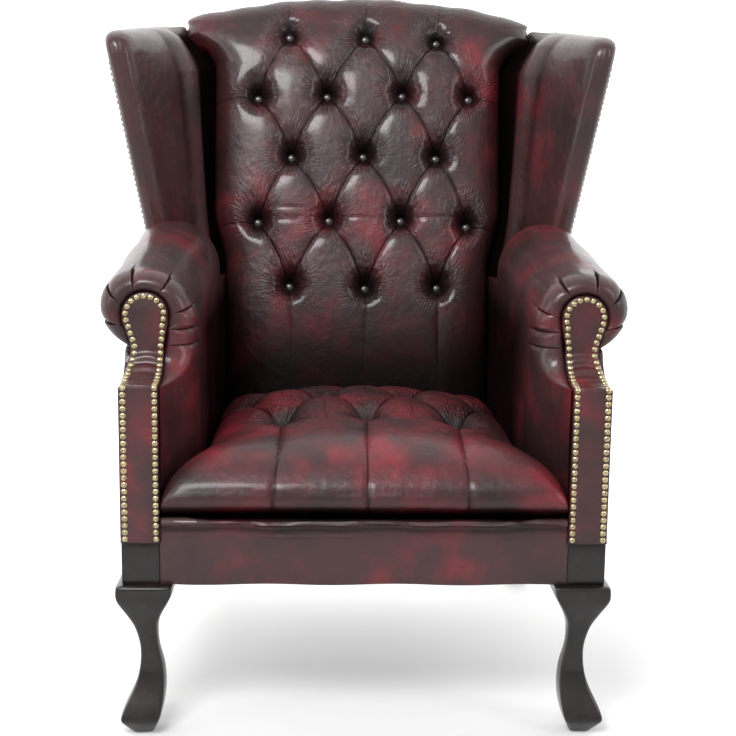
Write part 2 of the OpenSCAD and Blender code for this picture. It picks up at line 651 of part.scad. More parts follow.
// Each run ends in a half turn: places along the wire with the way it heads there
spring_path = concat([for (i = [0:run_n - 1]) let (way = i % 2 == 0 ? 1 : -1) each concat(
    [[-way * spring_half, i * spring_pitch, way > 0 ? 0 : 180]],
    i == run_n - 1 ? [] : [for (b = [0:bend_n - 1]) let (a = 180 * b / bend_n) [
        way * (spring_half + bend_r * sin(a)), i * spring_pitch + bend_r * (1 - cos(a)), way > 0 ? a : 180 - a
    ]]
)], [[spring_half, (run_n - 1) * spring_pitch, 0]]);
module serpentine() lofted([for (p = spring_path) [for (k = [0:wire_n - 1]) let (a = 360 * k / wire_n) [
    p[0] - wire_r * cos(a) * sin(p[2]), p[1] + wire_r * cos(a) * cos(p[2]), wire_r * sin(a)
]]]);
module seat_springs() color("#9a9a9a") seated() for (i = [0:spring_n - 1])
    translate([spring_x(i), spring_from, spring_z]) serpentine();

// Clips that hold the ends of the springs down on the rails
clip_w = 20;
clip_d = 14;
module spring_clips() color("#c0c0c0") seated() for (i = [0:spring_n - 1], d = [spring_from, spring_to])
    translate([spring_x(i), d, rail_top_z]) difference() {
        translate([-clip_w / 2, -clip_d / 2, 0]) cube([clip_w, clip_d, clip_h]);
        translate([-clip_w, -wire_r, -clip_h]) cube([2 * clip_w, 2 * wire_r, clip_h + 2 * wire_r]);
    }

// Canvas deck over the springs
deck_z = rail_top_z + clip_h;
deck_rear = rear_rail_d + rail_t;
deck_side = half_inner - border_t;
module seat_deck() color("#b7a684") seated()
    translate([-deck_side, front_rail_d, deck_z]) cube([2 * deck_side, deck_rear - front_rail_d, deck_t]);

// Seat: tufts in three rows, with straight pleats to the front and diamonds behind
seam_z = deck_z + deck_t;
seat_front_d = -4;
rear_gap = 14;
seat_rear_d = post_d(seam_z + seat_crown) - back_pad - rear_gap;
seat_rows = [for (r = [0:2]) [for (c = [0:(r % 2 == 1 ? 3 : 2)])
    [(c - (r % 2 == 1 ? 1.5 : 1)) * tuft_pitch, seat_tuft_d + r * seat_tuft_step]]];
function diagonals(rows) = [for (r = [0:len(rows) - 2], a = rows[r], b = rows[r + 1])
    if (abs(a[0] - b[0]) < tuft_pitch) [a, b]];
seat_pleats = concat(
    diagonals(seat_rows),
    [for (a = seat_rows[0]) [a, [a[0], seat_front_d]]],
    [for (a = seat_rows[2]) [a, [a[0], seat_rear_d]]]
);
tuft_wide = 0.125 * tuft_pitch;
pleat_wide = 0.065 * tuft_pitch;
function sunk(p, tufts, pleats) = max(
    max([for (t = tufts) tuft_depth * bell(norm(p - t), tuft_wide)]),
    max([for (q = pleats) pleat_depth * bell(off_line(p, q[0], q[1]), pleat_wide)])
);
seat_tufts = [for (row = seat_rows) each row];
side_gap = 1.9;
function seat_half(d) = pad_in(max(d, border_t)) - side_gap;
function seat_edge(t, power) = pow(max(1 - pow(abs(t), power), 0), 0.42);
function seat_height(x, d) = let (
    b = 2 * (d - seat_front_d) / (seat_rear_d - seat_front_d) - 1,
    a = x / seat_half(d),
    full = mix(seat_shoulder, seat_crown, (1 - a * a) * (1 - pow(b - 0.08, 2))),
    soft = seat_edge(a, 7) * seat_edge(b, 7)
) full * soft - sunk([x, d], seat_tufts, seat_pleats) * soft;
tuft_n = 6;
cell = tuft_pitch / tuft_n;
side_shares = [0.45, 0.8, 0.95, 1];
function columns(half) = let (
    n = 10,
    mid = [for (i = [-n:n]) i * cell],
    out = [for (s = side_shares) mix(n * cell, half, s)]
) concat([for (i = [3:-1:0]) -out[i]], mid, out);
seat_front_shares = [0, 0.015, 0.045, 0.1, 0.2, 0.36, 0.52, 0.68, 0.84];
seat_rear_shares = [0.3, 0.6, 0.85, 0.97, 1];
row_n = 5;
seat_lines = concat(
    [for (s = seat_front_shares) mix(seat_front_d, seat_tuft_d, s)],
    [for (i = [0:2 * row_n]) seat_tuft_d + i * seat_tuft_step / row_n],
    [for (s = seat_rear_shares) mix(seat_tuft_d + 2 * seat_tuft_step, seat_rear_d, s)]
);
foam_in = 44;
foam_side = half_inner - foam_in;
foam_row_n = 4;
foam_end_n = len(seat_lines) - 4;
foam_d = seat_lines[foam_row_n];
foam_len = seat_lines[foam_end_n] - foam_d;
seat_pocket = [for (i = [foam_row_n:foam_end_n]) [
    [-foam_side, seat_lines[i], seam_z], [-foam_side, seat_lines[i], seam_z + seat_foam_h],
    [foam_side, seat_lines[i], seam_z + seat_foam_h], [foam_side, seat_lines[i], seam_z]
]];
module seat_foam() color("#e3cf86") seated()
    translate([-foam_side, foam_d, seam_z]) cube([2 * foam_side, foam_len, seat_foam_h]);
module seat_cover() color("#651d22") seated() pad(
    [for (d = seat_lines) [for (x = columns(seat_half(d))) [x, d, seam_z + max(seat_height(x, d), 0)]]],
    seat_pocket, foam_row_n
);

// Buttons, seated in the hollows of the tufts
button_h = 4;
button_lift = 1.4 * tuft_depth * (1 - bell(cell, tuft_wide)) * button_r / cell;
module button() cylinder(h = button_h, r1 = button_r, r2 = 0.7 * button_r);
module seat_buttons() color("#2b0f12") seated() for (t = seat_tufts)
    translate([t[0], t[1], seam_z + seat_height(t[0], t[1]) + button_lift + fit]) button();

// Back: five rows of tufts up the rake, in diamonds, with pleats out to every edge
function back_row_v(r) = back_tuft_v + r * back_tuft_step - r * r * back_tuft_close / 2;
back_rows = [for (r = [0:4]) [for (c = [0:(r % 2 == 1 ? 3 : 2)])
    [(c - (r % 2 == 1 ? 1.5 : 1)) * tuft_pitch * (r % 2 == 1 ? 0.97 : 1), back_row_v(r)]]];
back_tufts = [for (row = back_rows) each row];
back_pleats = concat(
    diagonals(back_rows),
    [for (a = back_rows[0]) [a, [a[0], 0]]],
    [for (a = back_rows[4]) [a, [a[0], back_len]]],
    [for (r = [1, 3], s = [-1, 1]) let (a = back_rows[r][s < 0 ? 0 : 3]) [a, [s * half_body, a[1]]]]
);
back_foot_v = 14;
function back_z(v) = joint_z + v * cos(back_rake);
function back_half(v) = wing_rear_in(min(back_z(v), wing_z)) - side_gap;
function back_swell(v) = mix(0.8, 1, step(v / back_tuft_v))
    * mix(1, 0.7, step((v - back_row_v(3)) / (back_len - back_row_v(3))));
ear_half = back_half(post_len);
function crest(x) = back_len - crest_drop * pow(x / ear_half, 2);
function back_face(x, v) = let (full = back_pad * back_swell(v))
    full - sunk([x, v], back_tufts, back_pleats);
back_row_n = 4;
back_top_shares = [0, 0.4, 0.8];
back_lines = concat(
    [for (i = [0:4]) mix(back_foot_v, back_tuft_v, i / 5)],
    [for (r = [0:3], i = [0:back_row_n - 1]) mix(back_row_v(r), back_row_v(r + 1), i / back_row_n)],
    [for (s = back_top_shares) mix(back_row_v(4), post_len, s)]
);
// One row up the face: each point lies between the flat base and the full section
function face_row(v, foot) = [for (x = columns(back_half(v))) let (
    q = foot ? 0 : seat_edge(x / back_half(v), 8)
) [x, -back_face(x, v) * q, v]];
// One row over the crest, which ends on the outside back
function crest_row(i) = [for (x = columns(ear_half)) let (
    q = i == crest_n ? 0 : seat_edge(x / ear_half, 8),
    base_w = -back_back * i / crest_n
) [x, -mix(base_w, crest_path[i][0], q), post_len + q * (crest(x) - post_len) * crest_path[i][1]]];
back_foam_side = half_inner - 2 * border_t;
back_foam_t = back_pad - tuft_depth - 2 * border_t;
back_foam_row_n = 3;
back_foam_end_n = len(back_lines) - 1;
back_foam_v = back_lines[back_foam_row_n];
back_foam_top = back_lines[back_foam_end_n];
back_pocket = [for (i = [back_foam_row_n:back_foam_end_n]) [
    [-back_foam_side, 0, back_lines[i]], [-back_foam_side, -back_foam_t, back_lines[i]],
    [back_foam_side, -back_foam_t, back_lines[i]], [back_foam_side, 0, back_lines[i]]
]];
module back_foam() color("#e3cf86") seated() on_rake()
    translate([-back_foam_side, -back_foam_t, back_foam_v])
        cube([2 * back_foam_side, back_foam_t, back_foam_top - back_foam_v]);
module back_cover() color("#5f1b21") seated() on_rake() pad(
    concat(
        [for (i = [0:len(back_lines) - 1]) face_row(back_lines[i], i == 0)],
        [for (i = [0:crest_n]) crest_row(i)]
    ),
    back_pocket, back_foam_row_n
);
module back_buttons() color("#2b0f12") seated() on_rake() for (t = back_tufts)
    translate([t[0], -back_face(t[0], t[1]) - button_lift - fit, t[1]]) rotate([90, 0, 0]) button();

// Leather panels: outside arms, outside back and front border
function under_roll(d) = roll_z - sqrt(roll_r * roll_r - pow(body_side - roll_x, 2)) / cos(arm_rise)
    + (max(d, scroll_back) - scroll_back) * tan(arm_rise);
module outside_arm(side) color("#4d181c") seated() sided(side) side_outline(body_side, half_body)
    polygon(concat(
        [[border_d + block_t + fit, rail_z], [border_d + block_t + fit, block_top + fit],
        [border_t, block_top + fit]],
        [for (p = scoop(border_t)) if (p[1] < under_roll(p[0]) - fit) p],
        [[scroll_back + border_t, under_roll(scroll_back) - fit],
        [arm_end_d, under_roll(arm_end_d) - fit], [arm_end_d + fit, wing_foot_z - fit],
        [post_d(wing_foot_z - fit) + post_t / cos(back_rake), wing_foot_z - fit],
        kink(post_t), [seat_d + post_t, rail_z]]
    ));
module outside_arm_left() outside_arm(-1);
module outside_arm_right() outside_arm(1);

module outside_back() color("#4d181c") seated() intersection() {
    side_outline(-half_body - post_t, half_body + post_t) polygon([
        [seat_d + post_t, rail_z], [seat_d + back_back, rail_z], kink(back_back),
        raked(back_back, post_len - fit), raked(post_t, post_len - fit), kink(post_t)
    ]);
    front_outline(0, seat_d + post_len) let (top = post_out + post_shift(post_top_z)) polygon([
        [-half_body, rail_z], [half_body, rail_z], [half_body, wing_foot_z], [post_out, wing_foot_z],
        [top, post_top_z], [ear_half, post_top_z], [ear_half, joint_z + back_len], [-ear_half, joint_z + back_len],
        [-ear_half, post_top_z], [-top, post_top_z], [-post_out, wing_foot_z], [-half_body, wing_foot_z]
    ]);
}
module front_border() color("#54191e") seated()
    translate([-block_in + fit, border_d, rail_z]) cube([2 * (block_in - fit), border_t, border_h]);

// Black cloth under the seat, tacked to the rails and cut round the legs
dust_t = 1.2;
module dust_cover() color("#111111") seated() difference() {
    translate([-rail_in - rail_t / 2, front_rail_d + rail_t / 3, rail_bottom_z - dust_t])
        cube([2 * rail_in + rail_t, rear_rail_d - front_rail_d + rail_t / 3, dust_t]);
    for (side = [-1, 1]) sided(side) {
        translate([block_in - fit, 0, 0]) cube([block_t, border_d + block_t + fit, rail_top_z]);
        translate([post_in - fit, seat_d - fit, 0]) cube([post_t + over, post_t, rail_top_z]);
    }
}

front_leg_left();
front_leg_right();
rear_post_left();
rear_post_right();
glides();
front_rail();
rear_rail();
side_rail_left();
side_rail_right();
corner_blocks();
corner_screws();
arm_post_left();
arm_post_right();
arm_rail_left();
arm_rail_right();
wing_frame_left();
wing_frame_right();
back_top_rail();
back_lower_rail();
back_webbing();
seat_springs();
spring_clips();
seat_deck();
seat_foam();
seat_cover();
seat_buttons();
back_foam();
back_cover();
back_buttons();
arm_foam_left();
arm_foam_right();
arm_cover_left();
arm_cover_right();
arm_facing_left();
arm_facing_right();
arm_nails_left();
arm_nails_right();
wing_cover_left();
wing_cover_right();
wing_nails_left();
wing_nails_right();
outside_arm_left();
outside_arm_right();
outside_back();
front_border();
dust_cover();
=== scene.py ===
import math

import bmesh
import bpy
import numpy as np
from mathutils import Matrix, Vector


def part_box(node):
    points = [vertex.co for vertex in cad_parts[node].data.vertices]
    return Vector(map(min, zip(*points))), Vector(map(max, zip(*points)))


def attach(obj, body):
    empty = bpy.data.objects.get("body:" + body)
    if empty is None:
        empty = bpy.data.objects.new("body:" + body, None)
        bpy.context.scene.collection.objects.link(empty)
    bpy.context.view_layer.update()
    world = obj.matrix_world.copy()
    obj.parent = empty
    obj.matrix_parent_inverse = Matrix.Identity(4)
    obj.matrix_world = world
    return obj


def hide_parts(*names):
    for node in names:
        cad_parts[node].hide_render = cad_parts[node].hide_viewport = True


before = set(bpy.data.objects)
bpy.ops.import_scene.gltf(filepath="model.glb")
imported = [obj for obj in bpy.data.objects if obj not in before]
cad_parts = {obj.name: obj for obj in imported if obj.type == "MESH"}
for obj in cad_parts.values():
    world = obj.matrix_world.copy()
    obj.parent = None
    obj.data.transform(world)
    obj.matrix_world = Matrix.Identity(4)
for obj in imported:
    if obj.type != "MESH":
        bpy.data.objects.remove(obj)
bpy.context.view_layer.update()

# Camera
# It stands at the height and distance of the photograph, a little to the left of the middle.
scene = bpy.context.scene
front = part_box("arm_facing_right")[0].y
lens = bpy.data.cameras.new("camera")
lens.sensor_width = 36
lens.lens = 65.15
camera = bpy.data.objects.new("camera", lens)
scene.collection.objects.link(camera)
camera.matrix_world = (
    Matrix.Translation((-0.058, front - 1.8, 0.833))
    @ Matrix.Rotation(math.radians(-1.88), 4, "Z")
    @ Matrix.Rotation(math.radians(90 - 9.38), 4, "X")
    @ Matrix.Rotation(math.radians(0.7), 4, "Z")
)
scene.camera = camera

# Front legs
# Two cabriole legs, each sawn and carved from one length of hardwood with the square block that
# the rails and the arm stump are glued to. They are stained black and lacquered to a satin.
class Wire:
    def __init__(self, finish, socket):
        self.finish = finish
        self.socket = socket

    def sum(self, operation, first, second):
        return self.finish.node("ShaderNodeMath", {"operation": operation}, {0: first, 1: second})

    def __add__(self, other):
        return self.sum("ADD", self, other)

    def __radd__(self, other):
        return self.sum("ADD", other, self)

    def __sub__(self, other):
        return self.sum("SUBTRACT", self, other)

    def __rsub__(self, other):
        return self.sum("SUBTRACT", other, self)

    def __mul__(self, other):
        return self.sum("MULTIPLY", self, other)

    def __rmul__(self, other):
        return self.sum("MULTIPLY", other, self)


class Finish:
    def __init__(self, name):
        self.material = bpy.data.materials.new(name)
        self.material.use_nodes = True
        self.tree = self.material.node_tree
        self.place = self.node("ShaderNodeTexCoord", {}, {}, "Object")

    def node(self, kind, settings, values, out=0):
        made = self.tree.nodes.new(kind)
        for key, value in settings.items():
            if key == "stops":
                made.color_ramp.elements[0].position = value[0]
                made.color_ramp.elements[1].position = value[1]
            else:
                setattr(made, key, value)
        for key, value in values.items():
            self.feed(made.inputs[key], value)
        return Wire(self, made.outputs[out])

    def feed(self, socket, value):
        if isinstance(value, Wire):
            self.tree.links.new(value.socket, socket)
        else:
            socket.default_value = value

    def surface(self, values):
        for key, value in values.items():
            self.feed(self.tree.nodes["Principled BSDF"].inputs[key], value)
        return self.material

    # Painted shade: mixes a near-black matte surface over the finish by the given share, so pleat lines,
    # pits, edges and tucked places look shaded.
    def painted_shade_blend(self, share, colour):
        shade = self.node("ShaderNodeBsdfPrincipled", {}, {
            "Base Color": colour, "Roughness": 1.0, "Specular IOR Level": 0.0,
        })
        top = Wire(self, self.tree.nodes["Principled BSDF"].outputs[0])
        both = self.node("ShaderNodeMixShader", {}, {0: share, 1: top, 2: shade})
        self.tree.links.new(both.socket, self.tree.nodes["Material Output"].inputs["Surface"])
        return self.material

    def noise(self, scale, detail=2.0, stretch=(1, 1, 1)):
        place = self.node("ShaderNodeMapping", {}, {"Vector": self.place, "Scale": stretch})
        return self.node("ShaderNodeTexNoise", {}, {"Vector": place, "Scale": scale, "Detail": detail})

    def between(self, value, low, high):
        ramp = self.node("ShaderNodeValToRGB", {"stops": (low, high)}, {0: value})
        return self.node("ShaderNodeRGBToBW", {}, {0: ramp})

    def mix(self, share, first, second):
        return self.node("ShaderNodeMix", {"data_type": "RGBA"}, {0: share, 6: first, 7: second}, 2)

    def bump(self, height, distance, under=None):
        values = {"Height": height, "Distance": distance, "Strength": 1.0}
        if under is not None:
            values["Normal"] = under
        return self.node("ShaderNodeBump", {}, values)


def black_lacquer():
    finish = Finish("black_lacquer")
    wear = finish.between(finish.noise(60, 4), 0.55, 0.75)
    grain = finish.noise(90, 3, (1, 1, 0.08))
    return finish.surface({
        "Base Color": finish.mix(wear, (0.006, 0.0045, 0.004, 1), (0.016, 0.010, 0.008, 1)),
        "Roughness": 0.28 + 0.16 * finish.noise(35, 3), "Specular IOR Level": 0.2,
        "Coat Weight": 0.45, "Coat Roughness": 0.09,
        "Normal": finish.bump(grain, 0.0004),
    })


def settle(piece, finish, slot, *nodes):
    piece.data.materials.clear()
    piece.data.materials.append(finish)
    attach(piece, "root")
    if nodes:
        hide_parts(*nodes)
    return piece


def pick(*pieces):
    bpy.ops.object.select_all(action="DESELECT")
    for piece in pieces:
        piece.select_set(True)
    bpy.context.view_layer.objects.active = pieces[0]


def edit(piece, *steps):
    pick(piece)
    bpy.ops.object.mode_set(mode="EDIT")
    bpy.ops.mesh.select_all(action="SELECT")
    for step in steps:
        step()
    bpy.ops.object.mode_set(mode="OBJECT")


def applied(piece, kind, **settings):
    pick(piece)
    modifier = piece.modifiers.new(kind.lower(), kind)
    for key, value in settings.items():
        setattr(modifier, key, value)
    bpy.ops.object.modifier_apply(modifier=modifier.name)


def at_origin(piece):
    pick(piece)
    bpy.ops.object.transform_apply(location=True, rotation=True, scale=True)


def joined(name, pieces):
    pick(*pieces)
    bpy.ops.object.join()
    pieces[0].name = name
    return pieces[0]


def smooth(piece, degrees):
    pick(piece)
    bpy.ops.object.shade_smooth_by_angle(angle=math.radians(degrees))


side_x = 0.341
block_centre = (0.31385, 0.031, 0.2552)
block_size = (0.0537, 0.054, 0.0608)
# Height, how far the two outer faces stand out from the block, width inwards from the block's edge
leg_stations = [
    (226, 8.0, 72.0), (221, 8.8, 72.0), (210, 9.5, 70.7), (201, 8.2, 66.6), (183, -2.0, 56.4),
    (168, -9.5, 49.6), (156, -15, 47.0), (133, -20.4, 47), (118, -21.8, 49.6), (98, -21, 54.4),
    (80, -17.7, 56.4), (65, -12.2, 56.8), (50, -4.8, 56.2), (38, 1.4, 54.4), (26, 5.4, 51.7),
    (21, 5.0, 49.6), (3, -10, 41.5), (0, -11, 40.8),
]


def leg(side):
    def station(row):
        z, out, wide = (value * 0.001 for value in row)
        size = out + wide
        return Vector((side * (side_x + out - size / 2), front - out + size / 2, z)), size

    centre, size = station(leg_stations[0])
    bpy.ops.mesh.primitive_plane_add(size=size, location=centre)
    piece = bpy.context.object
    at_origin(piece)

    def draw_down():
        nonlocal centre, size
        for row in leg_stations[1:]:
            to, wide = station(row)
            bpy.ops.mesh.extrude_region_move(TRANSFORM_OT_translate={"value": to - centre})
            bpy.ops.transform.resize(value=(wide / size, wide / size, 1), center_override=to)
            centre, size = to, wide

    def round_arrises():
        mesh = bmesh.from_edit_mesh(piece.data)
        for edge in mesh.edges:
            rise = (edge.verts[0].co - edge.verts[1].co).z
            edge.select_set(abs(rise) > 0.002)
        bmesh.update_edit_mesh(piece.data)
        bpy.ops.mesh.bevel(offset=0.0060, segments=2, affect="EDGES")
        bpy.ops.mesh.select_all(action="SELECT")
        bpy.ops.mesh.normals_make_consistent(inside=False)

    edit(piece, draw_down, round_arrises)
    applied(piece, "SUBSURF", levels=2, render_levels=2)
    x, d, z = block_centre
    bpy.ops.mesh.primitive_cube_add(size=1, location=(side * x, front + d, z))
    block = bpy.context.object
    block.scale = block_size
    at_origin(block)
    applied(block, "BEVEL", width=0.0018, segments=3)
    piece = joined("leg_left" if side < 0 else "leg_right", [piece, block])
    smooth(piece, 50)
    return piece


lacquer = black_lacquer()
settle(leg(-1), lacquer, "black_wood", "front_leg_left")
settle(leg(1), lacquer, "black_wood", "front_leg_right")

# Frame timber
# Beech rails, blocks, stumps and boards stay as sawn, with open grain; the rear posts run down
# into the raked rear legs, and only those are stained black below the seat rails.
def timber(name, pale, dark, stained=False):
    finish = Finish(name)
    rings = finish.noise(40, 5, (1, 1, 0.12))
    pores = finish.noise(420, 2, (1, 1, 0.05))
    colour = finish.mix(finish.between(rings, 0.35, 0.68), pale, dark)
    rough = 0.55 + 0.2 * pores
    if stained:
        height = finish.node("ShaderNodeSeparateXYZ", {}, {0: finish.place}, "Z")
        bare = finish.between(height, 0.224, 0.226)
        colour = finish.mix(bare, (0.007, 0.005, 0.0045, 1), colour)
        rough = 0.3 + 0.12 * rings + 0.2 * bare
    return finish.surface({
        "Base Color": colour, "Roughness": rough, "Normal": finish.bump(pores, 0.0003),
    })


def dress(material, *nodes):
    for node in nodes:
        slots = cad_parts[node].data.materials
        for number in range(len(slots)):
            slots[number] = material


beech = timber("beech", (0.56, 0.36, 0.19, 1), (0.38, 0.22, 0.11, 1))
dress(beech, "front_rail", "rear_rail", "side_rail_left", "side_rail_right", "corner_blocks",
      "arm_post_left", "arm_post_right", "arm_rail_left", "arm_rail_right",
      "wing_frame_left", "wing_frame_right", "back_top_rail", "back_lower_rail")
dress(timber("stained_posts", (0.34, 0.20, 0.10, 1), (0.20, 0.11, 0.06, 1), True),
      "rear_post_left", "rear_post_right")

# Springs, clips, screws and glides
# Bright drawn steel wire and pressed zinc fittings, slightly dulled.
def metal(name, colour, dull, rough):
    finish = Finish(name)
    spots = finish.noise(180, 4)
    return finish.surface({
        "Base Color": finish.mix(finish.between(spots, 0.4, 0.7), colour, dull),
        "Metallic": 1.0, "Roughness": rough + 0.25 * spots,
        "Normal": finish.bump(finish.noise(900, 2), 0.0001),
    })


steel = metal("steel", (0.55, 0.55, 0.56, 1), (0.30, 0.29, 0.28, 1), 0.22)
dress(steel, "seat_springs", "spring_clips", "corner_screws", "glides")

# Canvas deck, webbing and the cloth under the seat
# Plain woven goods tacked to the rails: jute webbing, cotton canvas and a black dust cloth.
def woven(name, warp, weft, threads):
    finish = Finish(name)

    def bands(way):
        return finish.node("ShaderNodeTexWave", {"bands_direction": way},
                           {"Vector": finish.place, "Scale": threads})

    weave = bands("X") * bands("Y")
    return finish.surface({
        "Base Color": finish.mix(weave, warp, weft), "Roughness": 0.85 + 0.1 * weave,
        "Normal": finish.bump(weave + finish.noise(500, 2), 0.0004),
    })


dress(woven("canvas", (0.42, 0.35, 0.24, 1), (0.60, 0.52, 0.38, 1), 120), "seat_deck")
dress(woven("jute", (0.24, 0.17, 0.09, 1), (0.40, 0.30, 0.17, 1), 70), "back_webbing")
dress(woven("dust_cloth", (0.010, 0.010, 0.010, 1), (0.022, 0.022, 0.022, 1), 200), "dust_cover")

# Foam
# Cream polyurethane blocks inside the leather, open celled.
foam = Finish("foam")
cells = foam.node("ShaderNodeTexVoronoi", {}, {"Vector": foam.place, "Scale": 500})
dress(foam.surface({
    "Base Color": foam.mix(cells, (0.62, 0.50, 0.24, 1), (0.78, 0.68, 0.42, 1)),
    "Roughness": 0.9, "Normal": foam.bump(cells, 0.0006),
}), "seat_foam", "back_foam", "arm_foam_left", "arm_foam_right")

# Seat
# A stuffed leather seat fixed down to the frame, pulled in by ten tufts in diamonds, with three
# straight pleats folded over its front edge down to the seam.
# The red clouds, dark patches and flecks are the leather's own tone; the marks from each piece's shape
# paint shade into it.
def leather(name, red, dark, gloss=0.3):
    finish = Finish(name)

    def mark(key, out="Fac"):
        return finish.node("ShaderNodeAttribute", {"attribute_name": key}, {}, out)

    fold, pull, pit, rays = mark("fold"), mark("pull"), mark("pit"), mark("rays", "Vector")
    clouds = finish.noise(7, 4) * 0.6 + finish.noise(26, 5) * 0.4
    rubbed = finish.between(clouds, 0.57 - 0.2 * red, 0.76 - 0.2 * red)
    deep = finish.between(finish.noise(11, 5), 0.46 - 0.2 * dark, 0.68 - 0.2 * dark)
    flecks = finish.between(finish.noise(170, 4), 0.55, 0.72)
    colour = finish.mix(rubbed, (0.036, 0.0105, 0.0115, 1), (0.135, 0.0090, 0.0150, 1))
    colour = finish.mix(deep * 0.8, colour, (0.0150, 0.0070, 0.0072, 1))
    colour = finish.mix(flecks * 0.35, colour, (0.012, 0.0050, 0.0052, 1))
    # Painted shade: the base colour goes near-black inside and just above each button pit.
    colour = finish.mix(pit * 0.9, colour, (0.0035, 0.0022, 0.0023, 1))
    pores = finish.node("ShaderNodeTexVoronoi", {}, {"Vector": finish.place, "Scale": 800})
    creases = finish.bump(finish.noise(24, 3), 0.0020)
    creases = finish.bump(finish.noise(85, 4), 0.0013, creases)
    star = finish.node("ShaderNodeTexNoise", {}, {"Vector": rays, "Scale": 15.0, "Detail": 1.0})
    drawn = finish.bump(star * pull, 0.0060, creases)
    grain = finish.bump(pores * 0.6 + finish.noise(1200, 2) * 0.4, 0.00016, drawn)
    finish.surface({
        "Base Color": colour, "Roughness": 0.34 + 0.16 * finish.noise(20, 4), "Normal": grain,
        "Specular IOR Level": 0.3, "Coat Weight": gloss, "Coat Roughness": 0.16,
    })
    # Painted shade: the leather turns near-black and matte where the shade mark from the piece's shape is
    # high.
    return finish.painted_shade_blend(fold, (0.0016, 0.0010, 0.0011, 1))


# Shares along a curve that stand evenly spaced on it
def even(curve, low, high, count):
    t = np.linspace(low, high, 6001)
    a, b = curve(t)
    run = np.concatenate([[0], np.cumsum(np.hypot(np.diff(a), np.diff(b)))])
    return np.interp(np.linspace(0, run[-1], count), run, t)


def step(t):
    t = np.clip(t, 0, 1)
    return t * t * (3 - 2 * t)


def mix(a, b, f):
    return a + (b - a) * f


# A closed skin on a grid of columns and rows: place gives x, depth and height in millimetres
def skin(name, columns, rows, place, angle=180):
    bpy.ops.mesh.primitive_grid_add(x_subdivisions=columns - 1, y_subdivisions=rows - 1, size=2)
    piece = bpy.context.object
    piece.name = name
    count = len(piece.data.vertices)
    flat = np.empty(count * 3)
    piece.data.vertices.foreach_get("co", flat)
    flat = flat.reshape(-1, 3)
    i = np.rint((flat[:, 0] + 1) / 2 * (columns - 1)).astype(int)
    j = np.rint((flat[:, 1] + 1) / 2 * (rows - 1)).astype(int)
    spots, marks = place(i, j)
    spots = spots * 0.001
    spots[:, 1] += front
    piece.data.vertices.foreach_set("co", spots.ravel())
    for key, values in marks.items():
        if values.ndim == 2:
            layer = piece.data.attributes.new(key, "FLOAT_VECTOR", "POINT")
            layer.data.foreach_set("vector", values.astype(np.float32).ravel())
        else:
            layer = piece.data.attributes.new(key, "FLOAT", "POINT")
            layer.data.foreach_set("value", np.clip(values, 0, 1).astype(np.float32))
    piece.data.update()

    def close():
        bpy.ops.mesh.remove_doubles(threshold=0.00002)
        bpy.ops.mesh.select_all(action="DESELECT")
        bpy.ops.mesh.select_non_manifold(extend=False, use_wire=False, use_multi_face=False,
                                         use_non_contiguous=False, use_verts=False)
        bpy.ops.mesh.edge_face_add()
        bpy.ops.mesh.select_all(action="SELECT")
        bpy.ops.mesh.normals_make_consistent(inside=False)

    edit(piece, close)
    smooth(piece, angle)
    return piece


# Where a place lies by a pleat: how far to one side, how far away, and how deep the pleat is there
def by_pleat(x, y, pleat):
    ax, ay, bx, by, share, fade, bow = pleat
    run = math.hypot(bx - ax, by - ay)
    ux, uy = (bx - ax) / run, (by - ay) / run
    along = (x - ax) * ux + (y - ay) * uy
    f = np.clip(along / run, 0, 1)
    off = (y - ay) * ux - (x - ax) * uy - bow * np.sin(math.pi * f)
    return off, np.hypot(off, along - f * run), share * (1 - fade * f), (-uy, ux)


# Draws the columns and rows of the grid closer together along the pleats
def gathered(x, y, pleats):
    least = np.full_like(x, 99.0)
    shift_x, shift_y = np.zeros_like(x), np.zeros_like(x)
    for pleat in pleats:
        off, away, _, across = by_pleat(x, y, pleat)
        near = away < least
        least = np.where(near, away, least)
        pull = -0.75 * off * np.clip(1 - away / 6, 0, 1)
        shift_x = np.where(near, pull * across[0], shift_x)
        shift_y = np.where(near, pull * across[1], shift_y)
    return x + shift_x, y + shift_y


